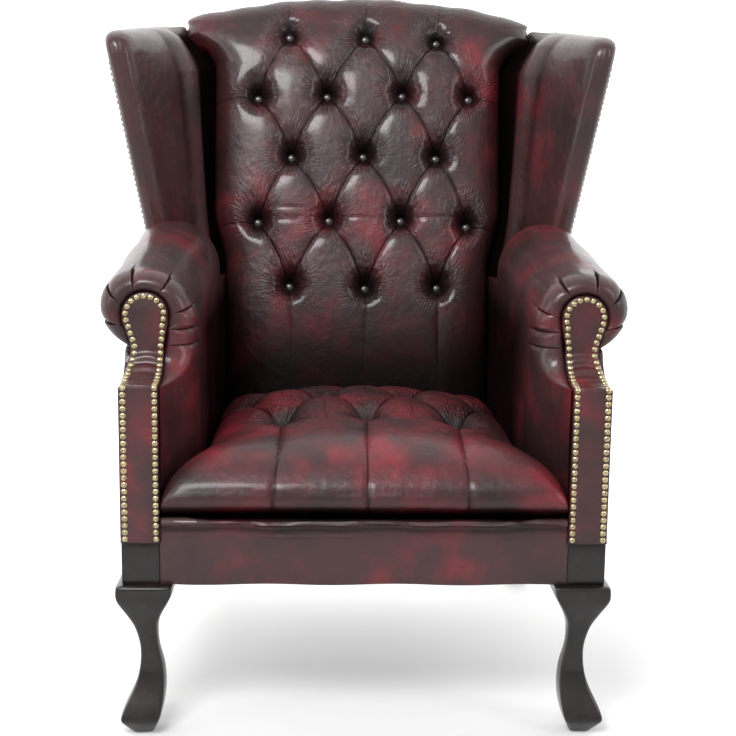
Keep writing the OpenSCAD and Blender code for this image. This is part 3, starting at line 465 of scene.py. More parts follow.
# How deep pleats (puff) and tufts (pit, wide) draw the leather in, how much shade is painted along the
# pleats and in the pits, and which way the fine creases run round the nearest tuft; rear makes its far
# side longer
def quilted(x, y, tufts, pleats, puff, pit, wide, rear=0.68):
    full = np.ones_like(x)
    groove = np.zeros_like(x)
    fold = np.zeros_like(x)
    for pleat in pleats:
        off, away, here, _ = by_pleat(x, y, pleat)
        full *= 1 - here * np.exp(-away / 12)
        over = off * (1 if pleat[2] >= pleat[0] else -1) > 0
        groove = np.maximum(groove, 2.4 * here * np.exp(-away / np.where(over, 0.5, 1.7)))
        # Painted shade along the pleat line.
        fold = np.maximum(fold, here * np.exp(-(away / 0.95) ** 2))
    drop = puff * (1 - full) + groove
    pull = np.zeros_like(x)
    pit_painted_shade = np.zeros_like(x)
    rays = np.zeros((len(x), 3))
    for number, (tx, ty) in enumerate(tufts):
        far = np.hypot(x - tx, y - ty)
        turn = np.arctan2(y - ty, x - tx)
        oval = np.hypot(x - tx, (y - ty - 1.5) * np.where(y > ty, rear, 1.12))
        drop += pit * np.exp(-(oval / wide) ** 1.45)
        ring = np.exp(-((oval - 1.1 * wide) / (0.55 * wide)) ** 2)
        for creases, deep in ((7, 0.8), (15, 0.55), (24, 0.4)):
            drop += deep * ring * np.cos(creases * turn + 2.4 * number + 0.05 * far)
        deepest = np.hypot(x - tx, (y - ty - 4) * np.where(y > ty + 4, 0.72, 1))
        # Painted shade in the pit, reaching a little above the button.
        fold = np.maximum(fold, 0.96 * np.exp(-(deepest / (0.68 * wide)) ** 2))
        # Painted shade: how dark the base colour is painted round the pit.
        pit_painted_shade = np.maximum(pit_painted_shade, np.exp(-(oval / (1.25 * wide)) ** 3))
        here = np.exp(-((oval - 1.5 * wide) / (1.1 * wide)) ** 2)
        near = here > pull
        pull = np.where(near, here, pull)
        way = np.stack([np.cos(turn), np.sin(turn), number * 0.7 + far * 0.006], 1)
        rays = np.where(near[:, None], way, rays)
    return drop, {"fold": fold, "pull": pull, "pit": pit_painted_shade, "rays": rays}


# The pleats of the diamonds, each from a tuft to one in the next row: two ends, depth at the first
# end, how much of it fades towards the second, and how far the pleat bows
def diamonds(tufts, near, far, bow):
    pairs = [(a, b) for a in tufts for b in tufts
             if near < b[1] - a[1] < far and abs(a[0] - b[0]) < 100]
    return [(*a, *b, 1.0, 0.0, math.copysign(bow, b[0] - a[0])) for a, b in pairs]


seam_z = 323.3
seat_front, seat_rear, seat_half = -4.0, 536.9, 238
# Where the tufts stand across the even pattern, in a row of three and in a row of four
three_across, four_across = (-133, 0, 133), (-199.5, -66.5, 66.5, 199.5)
seat_tufts = [(-122, 180), (7, 184), (143, 180)]
seat_tufts += [(x + 6, 328) for x in four_across]
seat_tufts += [(x, 456) for x in three_across]
seat_feet, seat_bows = (-129, 3, 145), (2, -1.5, -2)
seat_pleats = diamonds(seat_tufts, 120, 150, 4)
seat_pleats += [(x, d, foot, -60, 0.9, 0.2, bow)
                for (x, d), foot, bow in zip(seat_tufts, seat_feet, seat_bows)]
seat_pleats += [(x, 456, x, 560, 0.8, 0.0, 1) for x in three_across]
seat_pleats += [(s * 199.5 + 6, 328, s * 260, 322, 0.8, 0.0, 1) for s in (-1, 1)]
seat_quilt = {"puff": 6, "pit": 29, "wide": 24, "rear": 0.52}
seat_columns, seat_rows, seat_base = 215, 262, 8
# Half the width between the arms behind the facings and at the back, the facings' thickness, the
# run over which the padding swells behind them, and the gap beside the seat
mouth_half, inner_half, facing_deep, swell_run, side_gap = 288.98, 240, 6, 118, 1.9


def rim(t, power, share=0.42):
    return np.maximum(1 - np.abs(t) ** power, 0) ** share


def arm_inside(d):
    return mix(mouth_half, inner_half, step(np.maximum(d - facing_deep, 0) / swell_run))


def seat_top(a, b):
    return mix(86, 122, (1 - a * a) * (1 - (b - 0.08) ** 2))


def seat_side(a):
    return rim(a, 12, 0.36)


def seat_ends(b):
    return rim(b, 7)


# The share of each column from side to side over a cushion, then back again under it
def there_and_back(i, over, under):
    count = len(over)
    return np.where(i >= count, 1 - 2 * (i - count + 1) / under, over[np.minimum(i, count - 1)])


seat_a = even(lambda t: (seat_half * t, 110 * seat_side(t)), -1, 1, seat_columns)
seat_b = even(lambda t: (270 * t, 95 * seat_ends(t)), -1, 1, seat_rows)


def seat_place(i, j):
    base = i >= seat_columns
    a = there_and_back(i, seat_a, seat_base)
    b = seat_b[j]
    d = mix(seat_front, seat_rear, (b + 1) / 2)
    x = a * (arm_inside(d) - side_gap)
    soft = seat_side(a) * seat_ends(b)
    inside = (np.abs(a) < 0.97) & (np.abs(b) < 0.985) & ~base
    near_x, near_d = gathered(x, d, seat_pleats)
    x, d = np.where(inside, near_x, x), np.where(inside, near_d, d)
    drop, marks = quilted(x, d, seat_tufts, seat_pleats, **seat_quilt)
    front_face = np.exp(-(d - seat_front) / 22)
    height = (seat_top(a, b) + 3) * soft - drop * soft * (1 - 0.7 * front_face)
    pleat = np.max([np.exp(-(np.abs(x - p) / 3.2) ** 2) for p in seat_feet], axis=0)
    wave = 1.8 * np.sin(x / 41 + 0.8) + 0.9 * np.sin(x / 17.3)
    level = np.maximum(height, 0)
    crease = np.exp(-((level - 37 - wave) / 6.5) ** 2)
    tuck = 14 * np.exp(-(level / 12) ** 2)
    tuck = tuck - 5.5 * np.sin(math.pi * np.clip((level - 6) / 74, 0, 1))
    d = d + np.exp(-np.maximum(d, 0) / 16) * (tuck + 3.0 * pleat + 0.8 * crease)
    height = np.where(base, 0, level)
    # Painted shade: dark lines at the front pleats and crease, and darker towards the seat's foot and
    # underside.
    fold = np.maximum(marks["fold"] * np.minimum(soft * 1.6, 1), 0.7 * pleat * front_face)
    fold = np.maximum(fold, 0.35 * crease * front_face)
    marks["fold"] = np.maximum(fold, np.clip(1.15 - height / 17, 0, 1))
    return np.stack([x, d, seam_z + height], 1), marks


seat = skin("seat", seat_columns + seat_base, seat_rows, seat_place)
settle(seat, leather("seat_leather", 0.78, 0.22, 0.2), "leather", "seat_cover")

# Back
# One piece of leather over foam and wadding, drawn in by seventeen buttons in diamonds and
# rolled over the crest; its two top corners stand out as ears before the wings.
rake = math.radians(11)
seat_deep, joint_z, post_len = 598.0, 323.0, 735.0
# How far each button stands from its place in the even pattern, row by row from below
tuft_drift = [
    [(10, -4), (13, -7), (11, -5)],
    [(13, -8), (12, -4), (13, -3), (4, -13)],
    [(12, -5), (9, -2), (8, -4)],
    [(12, -9), (8, -4), (15, -1), (7, -6)],
    [(7, -1), (12, -2), (9, -7)],
]
back_tufts = [(x * (0.97 if r % 2 else 1) + drift[0], 260 + r * 122 - r * r * 2.2 + drift[1])
              for r, row in enumerate(tuft_drift)
              for x, drift in zip(four_across if r % 2 else three_across, row)]
back_pleats = diamonds(back_tufts, 90, 140, 7)
back_pleats += [(x, v, x * 1.01, v - 160, 0.8, 1.0, 1) for x, v in back_tufts[:3]]
back_pleats += [(x, v, x * 1.03, v + 86, 0.75, 0.6, -1) for x, v in back_tufts[14:]]
back_pleats += [(x, v, math.copysign(264, x), v - 9, 0.8, 0.35, math.copysign(2, x))
                for x, v in (back_tufts[3], back_tufts[6], back_tufts[10], back_tufts[13])]
back_quilt = {"puff": 5, "pit": 31, "wide": 17}
back_columns, back_rows, back_base = 236, 330, 8
# Heights of the wings' joint with the arms and of their tops, the height from which the back
# widens towards its ears, and the slope at which the rear posts stand apart
wing_joint_z, wing_top, corner_z, post_splay = 602.7, 1050.0, 972, math.tan(math.radians(4))
# Depth of the rear posts, and how far before them the covers of the arms and wings end
post_thick, cover_clear = 46.9, 0.5


def post_depth(z):
    return seat_deep + (z - joint_z) * math.tan(rake)


def post_spread(z):
    return np.maximum(z - wing_joint_z, 0) * post_splay


def wing_root(z):
    beside_back = mix(inner_half, 264, step((z - wing_joint_z) / 120))
    return mix(beside_back, 295 + post_spread(z), np.maximum((z - corner_z) / 78, 0) ** 1.3)


# Thickness of the stuffing before the posts
def back_full(v):
    return 72 * mix(0.8, 1, step(v / 260)) * mix(1, 0.7, step((v - 606) / 188))


def back_half(v):
    z = joint_z + v * math.cos(rake)
    return wing_root(np.minimum(z, wing_top)) - mix(0.7, side_gap, step((z - 600) / 30))


def back_side(a):
    return rim(a, 8)


back_a = even(lambda t: (262 * t, 70 * back_side(t)), -1, 1, back_columns)
# Where the leather starts at the foot and where it turns over the crest, how much of it runs over,
# the crest's own height up the rake, and how far the roll reaches behind the posts
back_from, crest_v, crest_run, crest_top, crest_behind = 14, 690.0, 248.0, 794, -46
# The radius of the roll before and behind, and the run and the turn at which they meet
roll_before, roll_behind, roll_meet, roll_turn = 104.0, 74, 73, 0.778
back_s = np.linspace(back_from, crest_v + crest_run, back_rows)


def crest_turn(s):
    run = np.maximum(s - crest_v, 0)
    before = np.arcsin(np.minimum(run, roll_meet) / roll_before)
    return np.where(run < roll_meet, before, roll_turn + (run - roll_meet) / roll_behind)


# How much of the tufts' depth is left towards the crest
def crest_ease(s):
    return (1 - 0.25 * step((s - 700) / 20)) * (1 - 0.9 * step((s - 740) / 90))


# The level wrinkles between the buttons of the second row from below: two ends, height and bow
back_wrinkles = [
    (-186, -62, 374, 4), (-186, -62, 386, -3), (-58, 62, 381, 2),
    (74, 196, 378, 6), (74, 196, 390, -4), (-186, -62, 398, 3),
]


def back_place(i, j):
    base = i >= back_columns
    a = there_and_back(i, back_a, back_base)
    s = back_s[j]
    x = a * back_half(np.minimum(s, post_len))
    half_top = back_half(np.array(post_len))
    q = np.where(base, 0, back_side(a))
    inside = (np.abs(a) < 0.97) & ~base & (s > 20) & (s < 800)
    near_x, near_s = gathered(x, s, back_pleats)
    x, s = np.where(inside, near_x, x), np.where(inside, near_s, s)
    turn = np.minimum(crest_turn(s), math.pi)
    past = turn / math.pi
    q = q * step((s - back_from) / 5 + 0.02) * np.where(past > 0.985, np.maximum(1 - past, 0) / 0.015, 1)
    v = np.minimum(s, crest_v)
    full = back_full(np.minimum(s, post_len))
    drop, marks = quilted(x, s, back_tufts, back_pleats, **back_quilt)
    drop = drop * crest_ease(s)
    reach = mix(full, crest_behind, (1 - np.cos(turn)) / 2)
    crest = crest_top - 41 * (x / half_top) ** 2 + 1.2 * np.sin(x / 26) + 0.9 * np.sin(x / 11 + 2)
    w = mix(crest_behind * past, reach, q) - q * drop * np.cos(turn)
    square = np.where(base, 0, rim(a, 90, 0.5))
    rise = square * (crest - crest_v) - q * drop * step((s - post_len) / 60)
    v = v + np.maximum(rise, 0) * np.sin(turn)
    wrinkle = np.zeros_like(x)
    for left, right, level, bow in back_wrinkles:
        span = np.clip((x - left) / (right - left), 0, 1)
        line = level + bow * np.sin(math.pi * span) - (x - left) * 0.02
        slack = np.where(s > line, 1.0, 4.5)
        wrinkle += np.sin(math.pi * span) ** 0.5 * np.exp(-np.abs(s - line) / slack)
    w = w - 1.5 * wrinkle * q
    d = seat_deep + v * math.sin(rake) - w * math.cos(rake)
    z = joint_z + v * math.cos(rake) + w * math.sin(rake)
    ear = step((z - wing_top) / 12) * np.clip((np.abs(x) / half_top - 0.8) / 0.2, 0, 1)
    x = x + np.sign(x) * 8 * ear
    # Painted shade: pleat and pit shade fades over the crest; darker at the sides beside the wings and
    # over the lower back.
    fold = marks["fold"] * np.minimum(q * 1.5, 1) * (1 - past)
    fold = np.maximum(fold, 0.8 * np.exp(-(q / 0.35) ** 2))
    marks["fold"] = np.maximum(fold, 0.85 * (1 - step((s - 90) / 190)))
    return np.stack([x, d, z], 1), marks


back = skin("back", back_columns + back_base, back_rows, back_place)
settle(back, leather("back_leather", 0.5, 0.5), "leather", "back_cover")

# Buttons
# Domed metal blanks covered in the darkest of the leather, pulled in on twine through the
# stuffing: seventeen show on the back, and ten lie deep in the seat.
button_radius, button_flat = 0.0086, 0.52


def button(place, lean):
    bpy.ops.mesh.primitive_uv_sphere_add(segments=20, ring_count=12, radius=button_radius)
    piece = bpy.context.object
    piece.scale = (1, 1, button_flat)
    at_origin(piece)

    def cut():
        bpy.ops.mesh.bisect(plane_co=(0, 0, -0.0015), plane_no=(0, 0, -1),
                            clear_outer=True, use_fill=True)

    edit(piece, cut)
    piece.data.transform(Matrix.Translation(place) @ Matrix.Rotation(lean, 4, "X"))
    return piece


scraps = Finish("button_leather")
button_leather = scraps.surface({
    "Base Color": scraps.mix(scraps.noise(120, 3), (0.006, 0.003, 0.003, 1), (0.020, 0.005, 0.006, 1)),
    "Roughness": 0.26 + 0.12 * scraps.noise(200, 2), "Coat Weight": 0.4, "Coat Roughness": 0.15,
    "Normal": scraps.bump(scraps.noise(900, 2), 0.0002),
})


def in_metres(x, d, z):
    return Vector((x * 0.001, front + d * 0.001, z * 0.001))


def back_point(x, v, w):
    return in_metres(x, seat_deep + v * math.sin(rake) - w * math.cos(rake),
                     joint_z + v * math.cos(rake) + w * math.sin(rake))


def pit_height(x, v):
    drop = quilted(np.array([float(x)]), np.array([float(v)]), back_tufts, back_pleats, **back_quilt)[0]
    return float(back_full(v) - drop[0] * crest_ease(v))


back_buttons = [button(back_point(x, v, pit_height(x, v) + 5.0), math.pi / 2 - rake)
                for x, v in back_tufts]
settle(joined("buttons_back", back_buttons), button_leather, "leather_button", "back_buttons")
smooth(bpy.data.objects["buttons_back"], 60)


def seat_pit(x, d):
    b = 2 * (d - seat_front) / (seat_rear - seat_front) - 1
    a = x / seat_half
    drop = quilted(np.array([float(x)]), np.array([float(d)]), seat_tufts, seat_pleats, **seat_quilt)[0]
    return float((seat_top(a, b) + 3 - drop[0]) * seat_side(np.array(a)) * seat_ends(np.array(b)))


seat_buttons = [button(in_metres(x, d, seam_z + seat_pit(x, d) + 2), 0) for x, d in seat_tufts]
settle(joined("buttons_seat", seat_buttons), button_leather, "leather_button", "seat_buttons")
smooth(bpy.data.objects["buttons_seat"], 60)

# Arms
# Leather over a padded inside and a stuffed roll, gathered in pleats round the scroll's face
# and tacked behind the nailed facing.
shoulder_z, scoop_h, scroll_back = 507.0, 46.0, 76.0
# Centre and radius of the roll's outer curve, of its inner curve and of the facing's round head
roll = (324.8, 603.0, 54.0)
roll_inner = (315.0, 582.0, 75.0)
bulb = (313.0, 596.5, 33.0)
arm_rise = math.tan(math.radians(7))
panel_x, rail_z = 334.5, 316
arm_rows, front_rows, body_rows = 210, 70, 110


def resampled(points, count):
    points = np.array(points, float)
    run = np.concatenate([[0], np.cumsum(np.hypot(*np.diff(points, axis=0).T))])
    t = np.linspace(0, run[-1], count)
    return np.stack([np.interp(t, run, points[:, 0]), np.interp(t, run, points[:, 1])], 1)


def arc(centre, radius, low, high, count):
    turn = np.radians(np.linspace(low, high, count))
    return [(centre[0] + radius * math.cos(t), centre[1] + radius * math.sin(t)) for t in turn]


# The full section and the outline of the facing, each from the foot of the inside over the top
# to the outside panel, in two matched stretches: the inside, and the roll with its underside
inside_n = 84
full_outline = np.concatenate([
    resampled([(inner_half, rail_z), (inner_half, roll_inner[1])], inside_n),
    resampled(arc(roll_inner, roll_inner[2], 180, 92, 30) + arc(roll, roll[2], 88, -77, 40), 100)[1:],
])
face_outline = np.concatenate([
    resampled([(286.5, rail_z), (286.5, shoulder_z), (286.5, 548), (281.5, 581)], inside_n),
    resampled(arc(bulb, 32, 206, -46, 40) + [(333, 551)], 100)[1:],
])
# Where each pleat stands along the outline, from its foot inside to its end outside, and its depth
arm_pleats = [
    (0.405, 0.8), (0.445, 0.9), (0.505, 1.0), (0.608, 1.0), (0.716, 1.0), (0.803, 1.0), (0.899, 1.0),
]
# The outline's columns stand closer together at the pleats; the last few run down the hidden side
even_n, outline_n, down = len(full_outline), 300, 10
crowd = np.linspace(0, 1, 6001)
thick = np.cumsum(1 + sum(6 * np.exp(-((crowd - spot) / 0.008) ** 2) for spot, _ in arm_pleats))
outline_at = np.interp(np.linspace(thick[0], thick[-1], outline_n), thick, crowd)


def drawn_in(outline):
    at = outline_at * (even_n - 1)
    return np.stack([np.interp(at, np.arange(even_n), line) for line in outline.T], 1)


full_outline, face_outline = drawn_in(full_outline), drawn_in(face_outline)


# The depth at which the leather starts behind the facing: it follows the hollow slope, which starts
# at shoulder_z and runs scroll_back deep while it climbs scoop_h
def scoop_depth(z):
    share = np.clip((z - shoulder_z + facing_deep) / (scoop_h + facing_deep), 0, 1)
    return facing_deep + scroll_back * np.sqrt(np.maximum(1 - (1 - share) ** 2, 0))


# Depth at which the roll meets the wing, how far the wing's front edge leans forward up its height,
# and the height of the board inside it
arm_end, wing_lean, board_high = 491.7, 60, 419.3


def arm_place(i, j):
    hidden = i >= outline_n
    k = np.minimum(i, outline_n - 1)
    full = full_outline[k]
    face = face_outline[k]
    down_share = np.minimum((i - outline_n + 1) / down, 1)
    fx = np.where(hidden, panel_x, full[:, 0])
    fz = np.where(hidden, mix(550, rail_z, down_share), full[:, 1])
    gx = np.where(hidden, panel_x, face[:, 0])
    gz = np.where(hidden, mix(549, rail_z, down_share), face[:, 1])
    along = outline_at[k]
    on_roll = step((fz - 520) / 60) * (1 - hidden)
    f = np.clip((j - 1) / (front_rows - 2), 0, 1)
    turned = np.sin(np.clip(f / 0.6, 0, 1) * math.pi / 2) ** 0.8
    z = mix(gz, fz, turned)
    start = scoop_depth(z)
    round_over = 27 * (1 - np.maximum(1 - turned ** 3, 0) ** (1 / 3))
    swell = 7 * np.sin(math.pi * turned ** 0.85) * on_roll
    d = start + round_over - swell + 97 * np.clip((f - 0.6) / 0.4, 0, 1)
    d = np.where(hidden, start + 6 * f, d)
    wide_x = np.where((along * (even_n - 1) < inside_n - 1) & ~hidden, arm_inside(d), fx)
    x = mix(gx, wide_x, turned)
    tail = np.clip((j - front_rows + 1) / (body_rows - 1), 0, 1)
    lift = np.where(hidden, 0, step((fz - 380) / 160)) * arm_rise
    end = arm_end - wing_lean * (z - wing_joint_z) / board_high - 0.4
    d = mix(d, np.maximum(end, d), tail)
    risen = lift * np.maximum(d - 82, 0)
    z = z + risen
    rear = np.clip((j - front_rows - body_rows + 1) / (arm_rows - front_rows - body_rows), 0, 1)
    behind = rear > 0
    z = np.where(behind, np.minimum(z, wing_joint_z - 0.5), z)
    x = np.where(behind, np.minimum(x, panel_x), x)
    d = np.where(behind, mix(arm_end + 0.1, post_depth(z) - cover_clear, rear), d)
    fade = np.exp(-np.maximum(d - start - 24, 0) / 11) * step(f * 9) * (1 - hidden)
    drop = np.zeros_like(x)
    fold = np.zeros_like(x)
    for spot, share in arm_pleats:
        off = (along - spot) * 590 + 8 * (f - 0.3) * (spot < 0.47)
        drop += share * fade * 6 * np.exp(-np.abs(off) / np.where(off > 0, 0.9, 6))
        # Painted shade along the pleat line.
        fold = np.maximum(fold, 0.85 * share * fade * np.exp(-(off / 1.1) ** 2))
    # Pleats and waves move the leather from and to the core of the roll
    core_x, core_z = 318, 585 + lift * np.maximum(d - 82, 0)
    nx, nz = x - core_x, np.where(z > core_z, z - core_z, 0)
    size = np.maximum(np.hypot(nx, nz), 1)
    out = np.where(behind | hidden, 0, 1) * step(f * 4)
    wave = 1.1 * np.sin(d / 31 + along * 9) * np.sin(along * 21) * out
    x = x - (drop - wave) * nx / size
    z = z - (drop - wave) * nz / size
    # Painted shade: black on the hidden side and in the tuck behind the facing, darker on the inside of
    # the arm towards the rear and low down.
    fold = np.where(hidden, 1, fold)
    fold = np.maximum(fold, 0.9 * np.exp(-f * 20))
    shade = np.maximum(0.8 * step((d - 95) / 190) * step((612 - z) / 60), 0.35 * step((500 - z) / 60))
    fold = np.maximum(fold, shade * (x < 300))
    d = np.where(j == 0, 100, d)
    return np.stack([x, d, z], 1), {"fold": fold}


# The same shape on the other side of the chair
def mirrored(place):
    def flipped(i, j):
        spots, marks = place(i, j)
        return spots * np.array([-1, 1, 1]), marks
    return flipped


# A grid whose last column is its first
def ring(place, columns):
    def wrapped(i, j):
        return place(np.where(i == columns, 0, i), j)
    return wrapped


# A left and a right cover, both from the right one's shape
def covers(name, node, place, columns, rows, angle, finish):
    right = ring(place, columns)
    pair = [skin(name + side, columns + 1, rows, shape, angle)
            for side, shape in (("_left", mirrored(right)), ("_right", right))]
    return [settle(piece, finish, "leather", node + side)
            for piece, side in zip(pair, ("_left", "_right"))]


arm_leather = leather("arm_leather", 0.62, 0.35)
for piece in covers("arm", "arm_cover", arm_place, outline_n + down, arm_rows, 60, arm_leather):
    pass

# Facings
# Narrow padded boards covered in leather, pinned to the front of each arm after it is stuffed,
# from the rail line up the hollow slope to a round head on the scroll.
facing_columns, facing_rows, facing_under = 30, 190, 7
# The line up the facing's middle, in depth and height
path = [(0.0, 286.0), (0.0, 504.5), (0.6, shoulder_z)]
path += [(scroll_back * math.sin(t), shoulder_z + scoop_h * (1 - math.cos(t)))
         for t in np.radians(np.linspace(2, 90, 40))]
path += [(scroll_back, 560.0), (scroll_back, bulb[1] + bulb[2])]
path = resampled(path, facing_rows)
# The facing's edges: straight, drawn in at the outside up the slope, and from the neck into the head
face_left, face_right, neck_drawn, neck_z = 286, 341, 7, 548


def facing_width(z):
    drawn = neck_drawn * step((z - shoulder_z) / (neck_z - shoulder_z)) * (1 - step((z - 560) / 30))
    half = np.sqrt(np.maximum(bulb[2] ** 2 - (z - bulb[1]) ** 2, 0.01))
    neck = (z > neck_z) & (z < bulb[1])
    left = np.where(z > 560, bulb[0] - half, face_left)
    right = np.where(z > 574, bulb[0] + half, face_right - drawn)
    to_left = mix(face_left, bulb[0] - bulb[2], step((z - neck_z) / 42))
    to_right = mix(face_right - neck_drawn, bulb[0] + bulb[2], step((z - neck_z) / 44))
    return np.where(neck, to_left, left), np.where(neck, to_right, right)


def facing_place(i, j):
    d, z = path[j, 0], path[j, 1]
    before = path[np.maximum(j - 1, 0)]
    after = path[np.minimum(j + 1, facing_rows - 1)]
    way = after - before
    way = way / np.hypot(way[:, 0], way[:, 1])[:, None]
    out_d, out_z = -way[:, 1], way[:, 0]
    left, right = facing_width(z)
    rear = i > facing_columns
    t = np.where(rear, 1 - (i - facing_columns) / (facing_under - 1), i / facing_columns)
    from_centre = np.hypot(mix(left, right, t) - bulb[0], z - bulb[1]) / bulb[2]
    a = np.minimum(np.maximum(np.abs(2 * t - 1), from_centre * (z > bulb[1])), 1)
    puff = 3.6 * (1 - a ** 2.6) + 2.2 * rim(a, 10, 0.5) - 2.2
    slope = np.exp(-((z - 528) / 17) ** 2) * (d > 0.3) * (d < scroll_back - 0.1)
    puff = puff + slope * 2.1 * np.sin(j * 0.62 + 1.2 * a) * (1 - a ** 4)
    puff = puff * np.minimum((j + 1) / 4, 1)
    lift = np.where(rear, -5.6, puff)
    # Painted shade: black on the hidden rear and darker along the facing's edges.
    fold = np.where(rear, 0.8, 0.5 * np.exp(-(1 - a) / 0.05))
    return np.stack([mix(left, right, t), d + out_d * lift, z + out_z * lift], 1), {"fold": fold}


facing_leather, facing_around = leather("facing_leather", 0.62, 0.55), facing_columns + facing_under
for piece in covers("facing", "arm_facing", facing_place, facing_around, facing_rows, 50, facing_leather):
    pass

# Nails
# Domed brass heads driven side by side: two columns on each facing and round its head, and a
# row of smaller ones behind the front edge of each wing.
def nail_head(radius):
    bpy.ops.mesh.primitive_circle_add(vertices=12, radius=radius, fill_type="NGON")
    piece = bpy.context.object

    def dome():
        at = 0.0
        wide = 1.0
        for share in (0.97, 0.80, 0.50, 0.18):
            up = 0.62 * radius * math.sqrt(1 - share * share)
            bpy.ops.mesh.extrude_region_move(TRANSFORM_OT_translate={"value": (0, 0, up - at)})
            bpy.ops.transform.resize(value=(share / wide, share / wide, 1), center_override=(0, 0, up))
            at, wide = up, share
        bpy.ops.mesh.select_all(action="SELECT")
        bpy.ops.mesh.normals_make_consistent(inside=False)

    edit(piece, dome)
    return piece


def nail_row(name, spots, radius, finish, node):
    head = nail_head(radius)
    rng = np.random.default_rng(len(spots))
    copies = []
    for place, facing in spots:
        piece = head.copy()
        piece.data = head.data.copy()
        scene.collection.objects.link(piece)
        wobble = Vector(rng.uniform(-0.09, 0.09, 3))
        turn = (Vector(facing) + wobble).to_track_quat("Z", "X").to_matrix().to_4x4()
        piece.data.transform(Matrix.Translation(place) @ turn)
        copies.append(piece)
    bpy.data.objects.remove(head)
    row = joined(name, copies)
    smooth(row, 75)
    return settle(row, finish, "brass_nail", node)


brassed = Finish("brass")
tarnish = brassed.between(brassed.noise(300, 4), 0.42, 0.66)
brass = brassed.surface({
    "Base Color": brassed.mix(tarnish, (0.50, 0.42, 0.25, 1), (0.19, 0.15, 0.09, 1)),
    "Metallic": 1.0, "Roughness": 0.22 + 0.25 * tarnish,
    "Normal": brassed.bump(brassed.noise(800, 2), 0.00012),
})
nail_pitch, facing_nail_r, wing_nail_r = 9.7, 0.0045, 0.0036


# Along the inner edge, round the head and down the outer edge, as place and direction
def facing_spots(side):
    inner_in, outer_in, head_r, seat_on, end_in = 5.2, 7, 27, 1.7, 6.0
    lines = []
    for edge in (0, 1):
        line = []
        for j in range(facing_rows):
            d, z = path[j]
            if z > 570:
                break
            way = path[min(j + 1, facing_rows - 1)] - path[max(j - 1, 0)]
            way = way / np.hypot(*way)
            left, right = (float(value) for value in facing_width(np.array(z)))
            x = (left + inner_in, right - outer_in)[edge]
            line.append((x, d - way[1] * seat_on, z + way[0] * seat_on, -way[1], way[0]))
        lines.append(line)
    head = [(x, scroll_back - 1.4, z, -1, 0) for x, z in arc(bulb, head_r, 205, -25, 60)]
    lines = np.array(lines[0] + head + lines[1][::-1])
    run = np.concatenate([[0], np.cumsum(np.linalg.norm(np.diff(lines[:, :3], axis=0), axis=1))])
    count = int((run[-1] - 2 * end_in) / nail_pitch)
    t = np.linspace(end_in, run[-1] - end_in, count + 1)
    rows = [[np.interp(s, run, lines[:, k]) for k in range(5)] for s in t]
    return [(in_metres(side * x, d, z), (0, a, b)) for x, d, z, a, b in rows]


nail_row("nails_left", facing_spots(-1), facing_nail_r, brass, "arm_nails_left")
nail_row("nails_right", facing_spots(1), facing_nail_r, brass, "arm_nails_right")

# Wings
# Boards padded on both sides and covered in plain leather, their rounded front edges swept
# forward over the arms; the inside is tucked in beside the back.
wing_columns, wing_rows = 150, 190
wing_foot, wing_half, top_round = wing_joint_z + 0.5, 23.0, 46
# The columns at which the inside ends, the rounded front ends, the outside ends and the step over
# the edge of the outside back ends; the rest run back to the root
nose_from, nose_to, flap_at, step_at = 70, 105, 135, 142


def up_wing(z):
    return (z - wing_foot) / (wing_top - wing_foot)


def wing_nose(z):
    over = np.clip((z - wing_top + top_round) / top_round, 0, 1)
    lean = wing_lean * (wing_top - z) / (wing_top - wing_joint_z)
    return 432 + lean + top_round * (1 - np.sqrt(1 - over ** 2))


def wing_out(z):
    return mix(350.2, 427, up_wing(z))


# How far the top line falls towards the front
def wing_fall(z):
    return 28 * up_wing(z)


def bump_at(f, spot, width):
    return np.exp(-((f - spot) / width) ** 2)


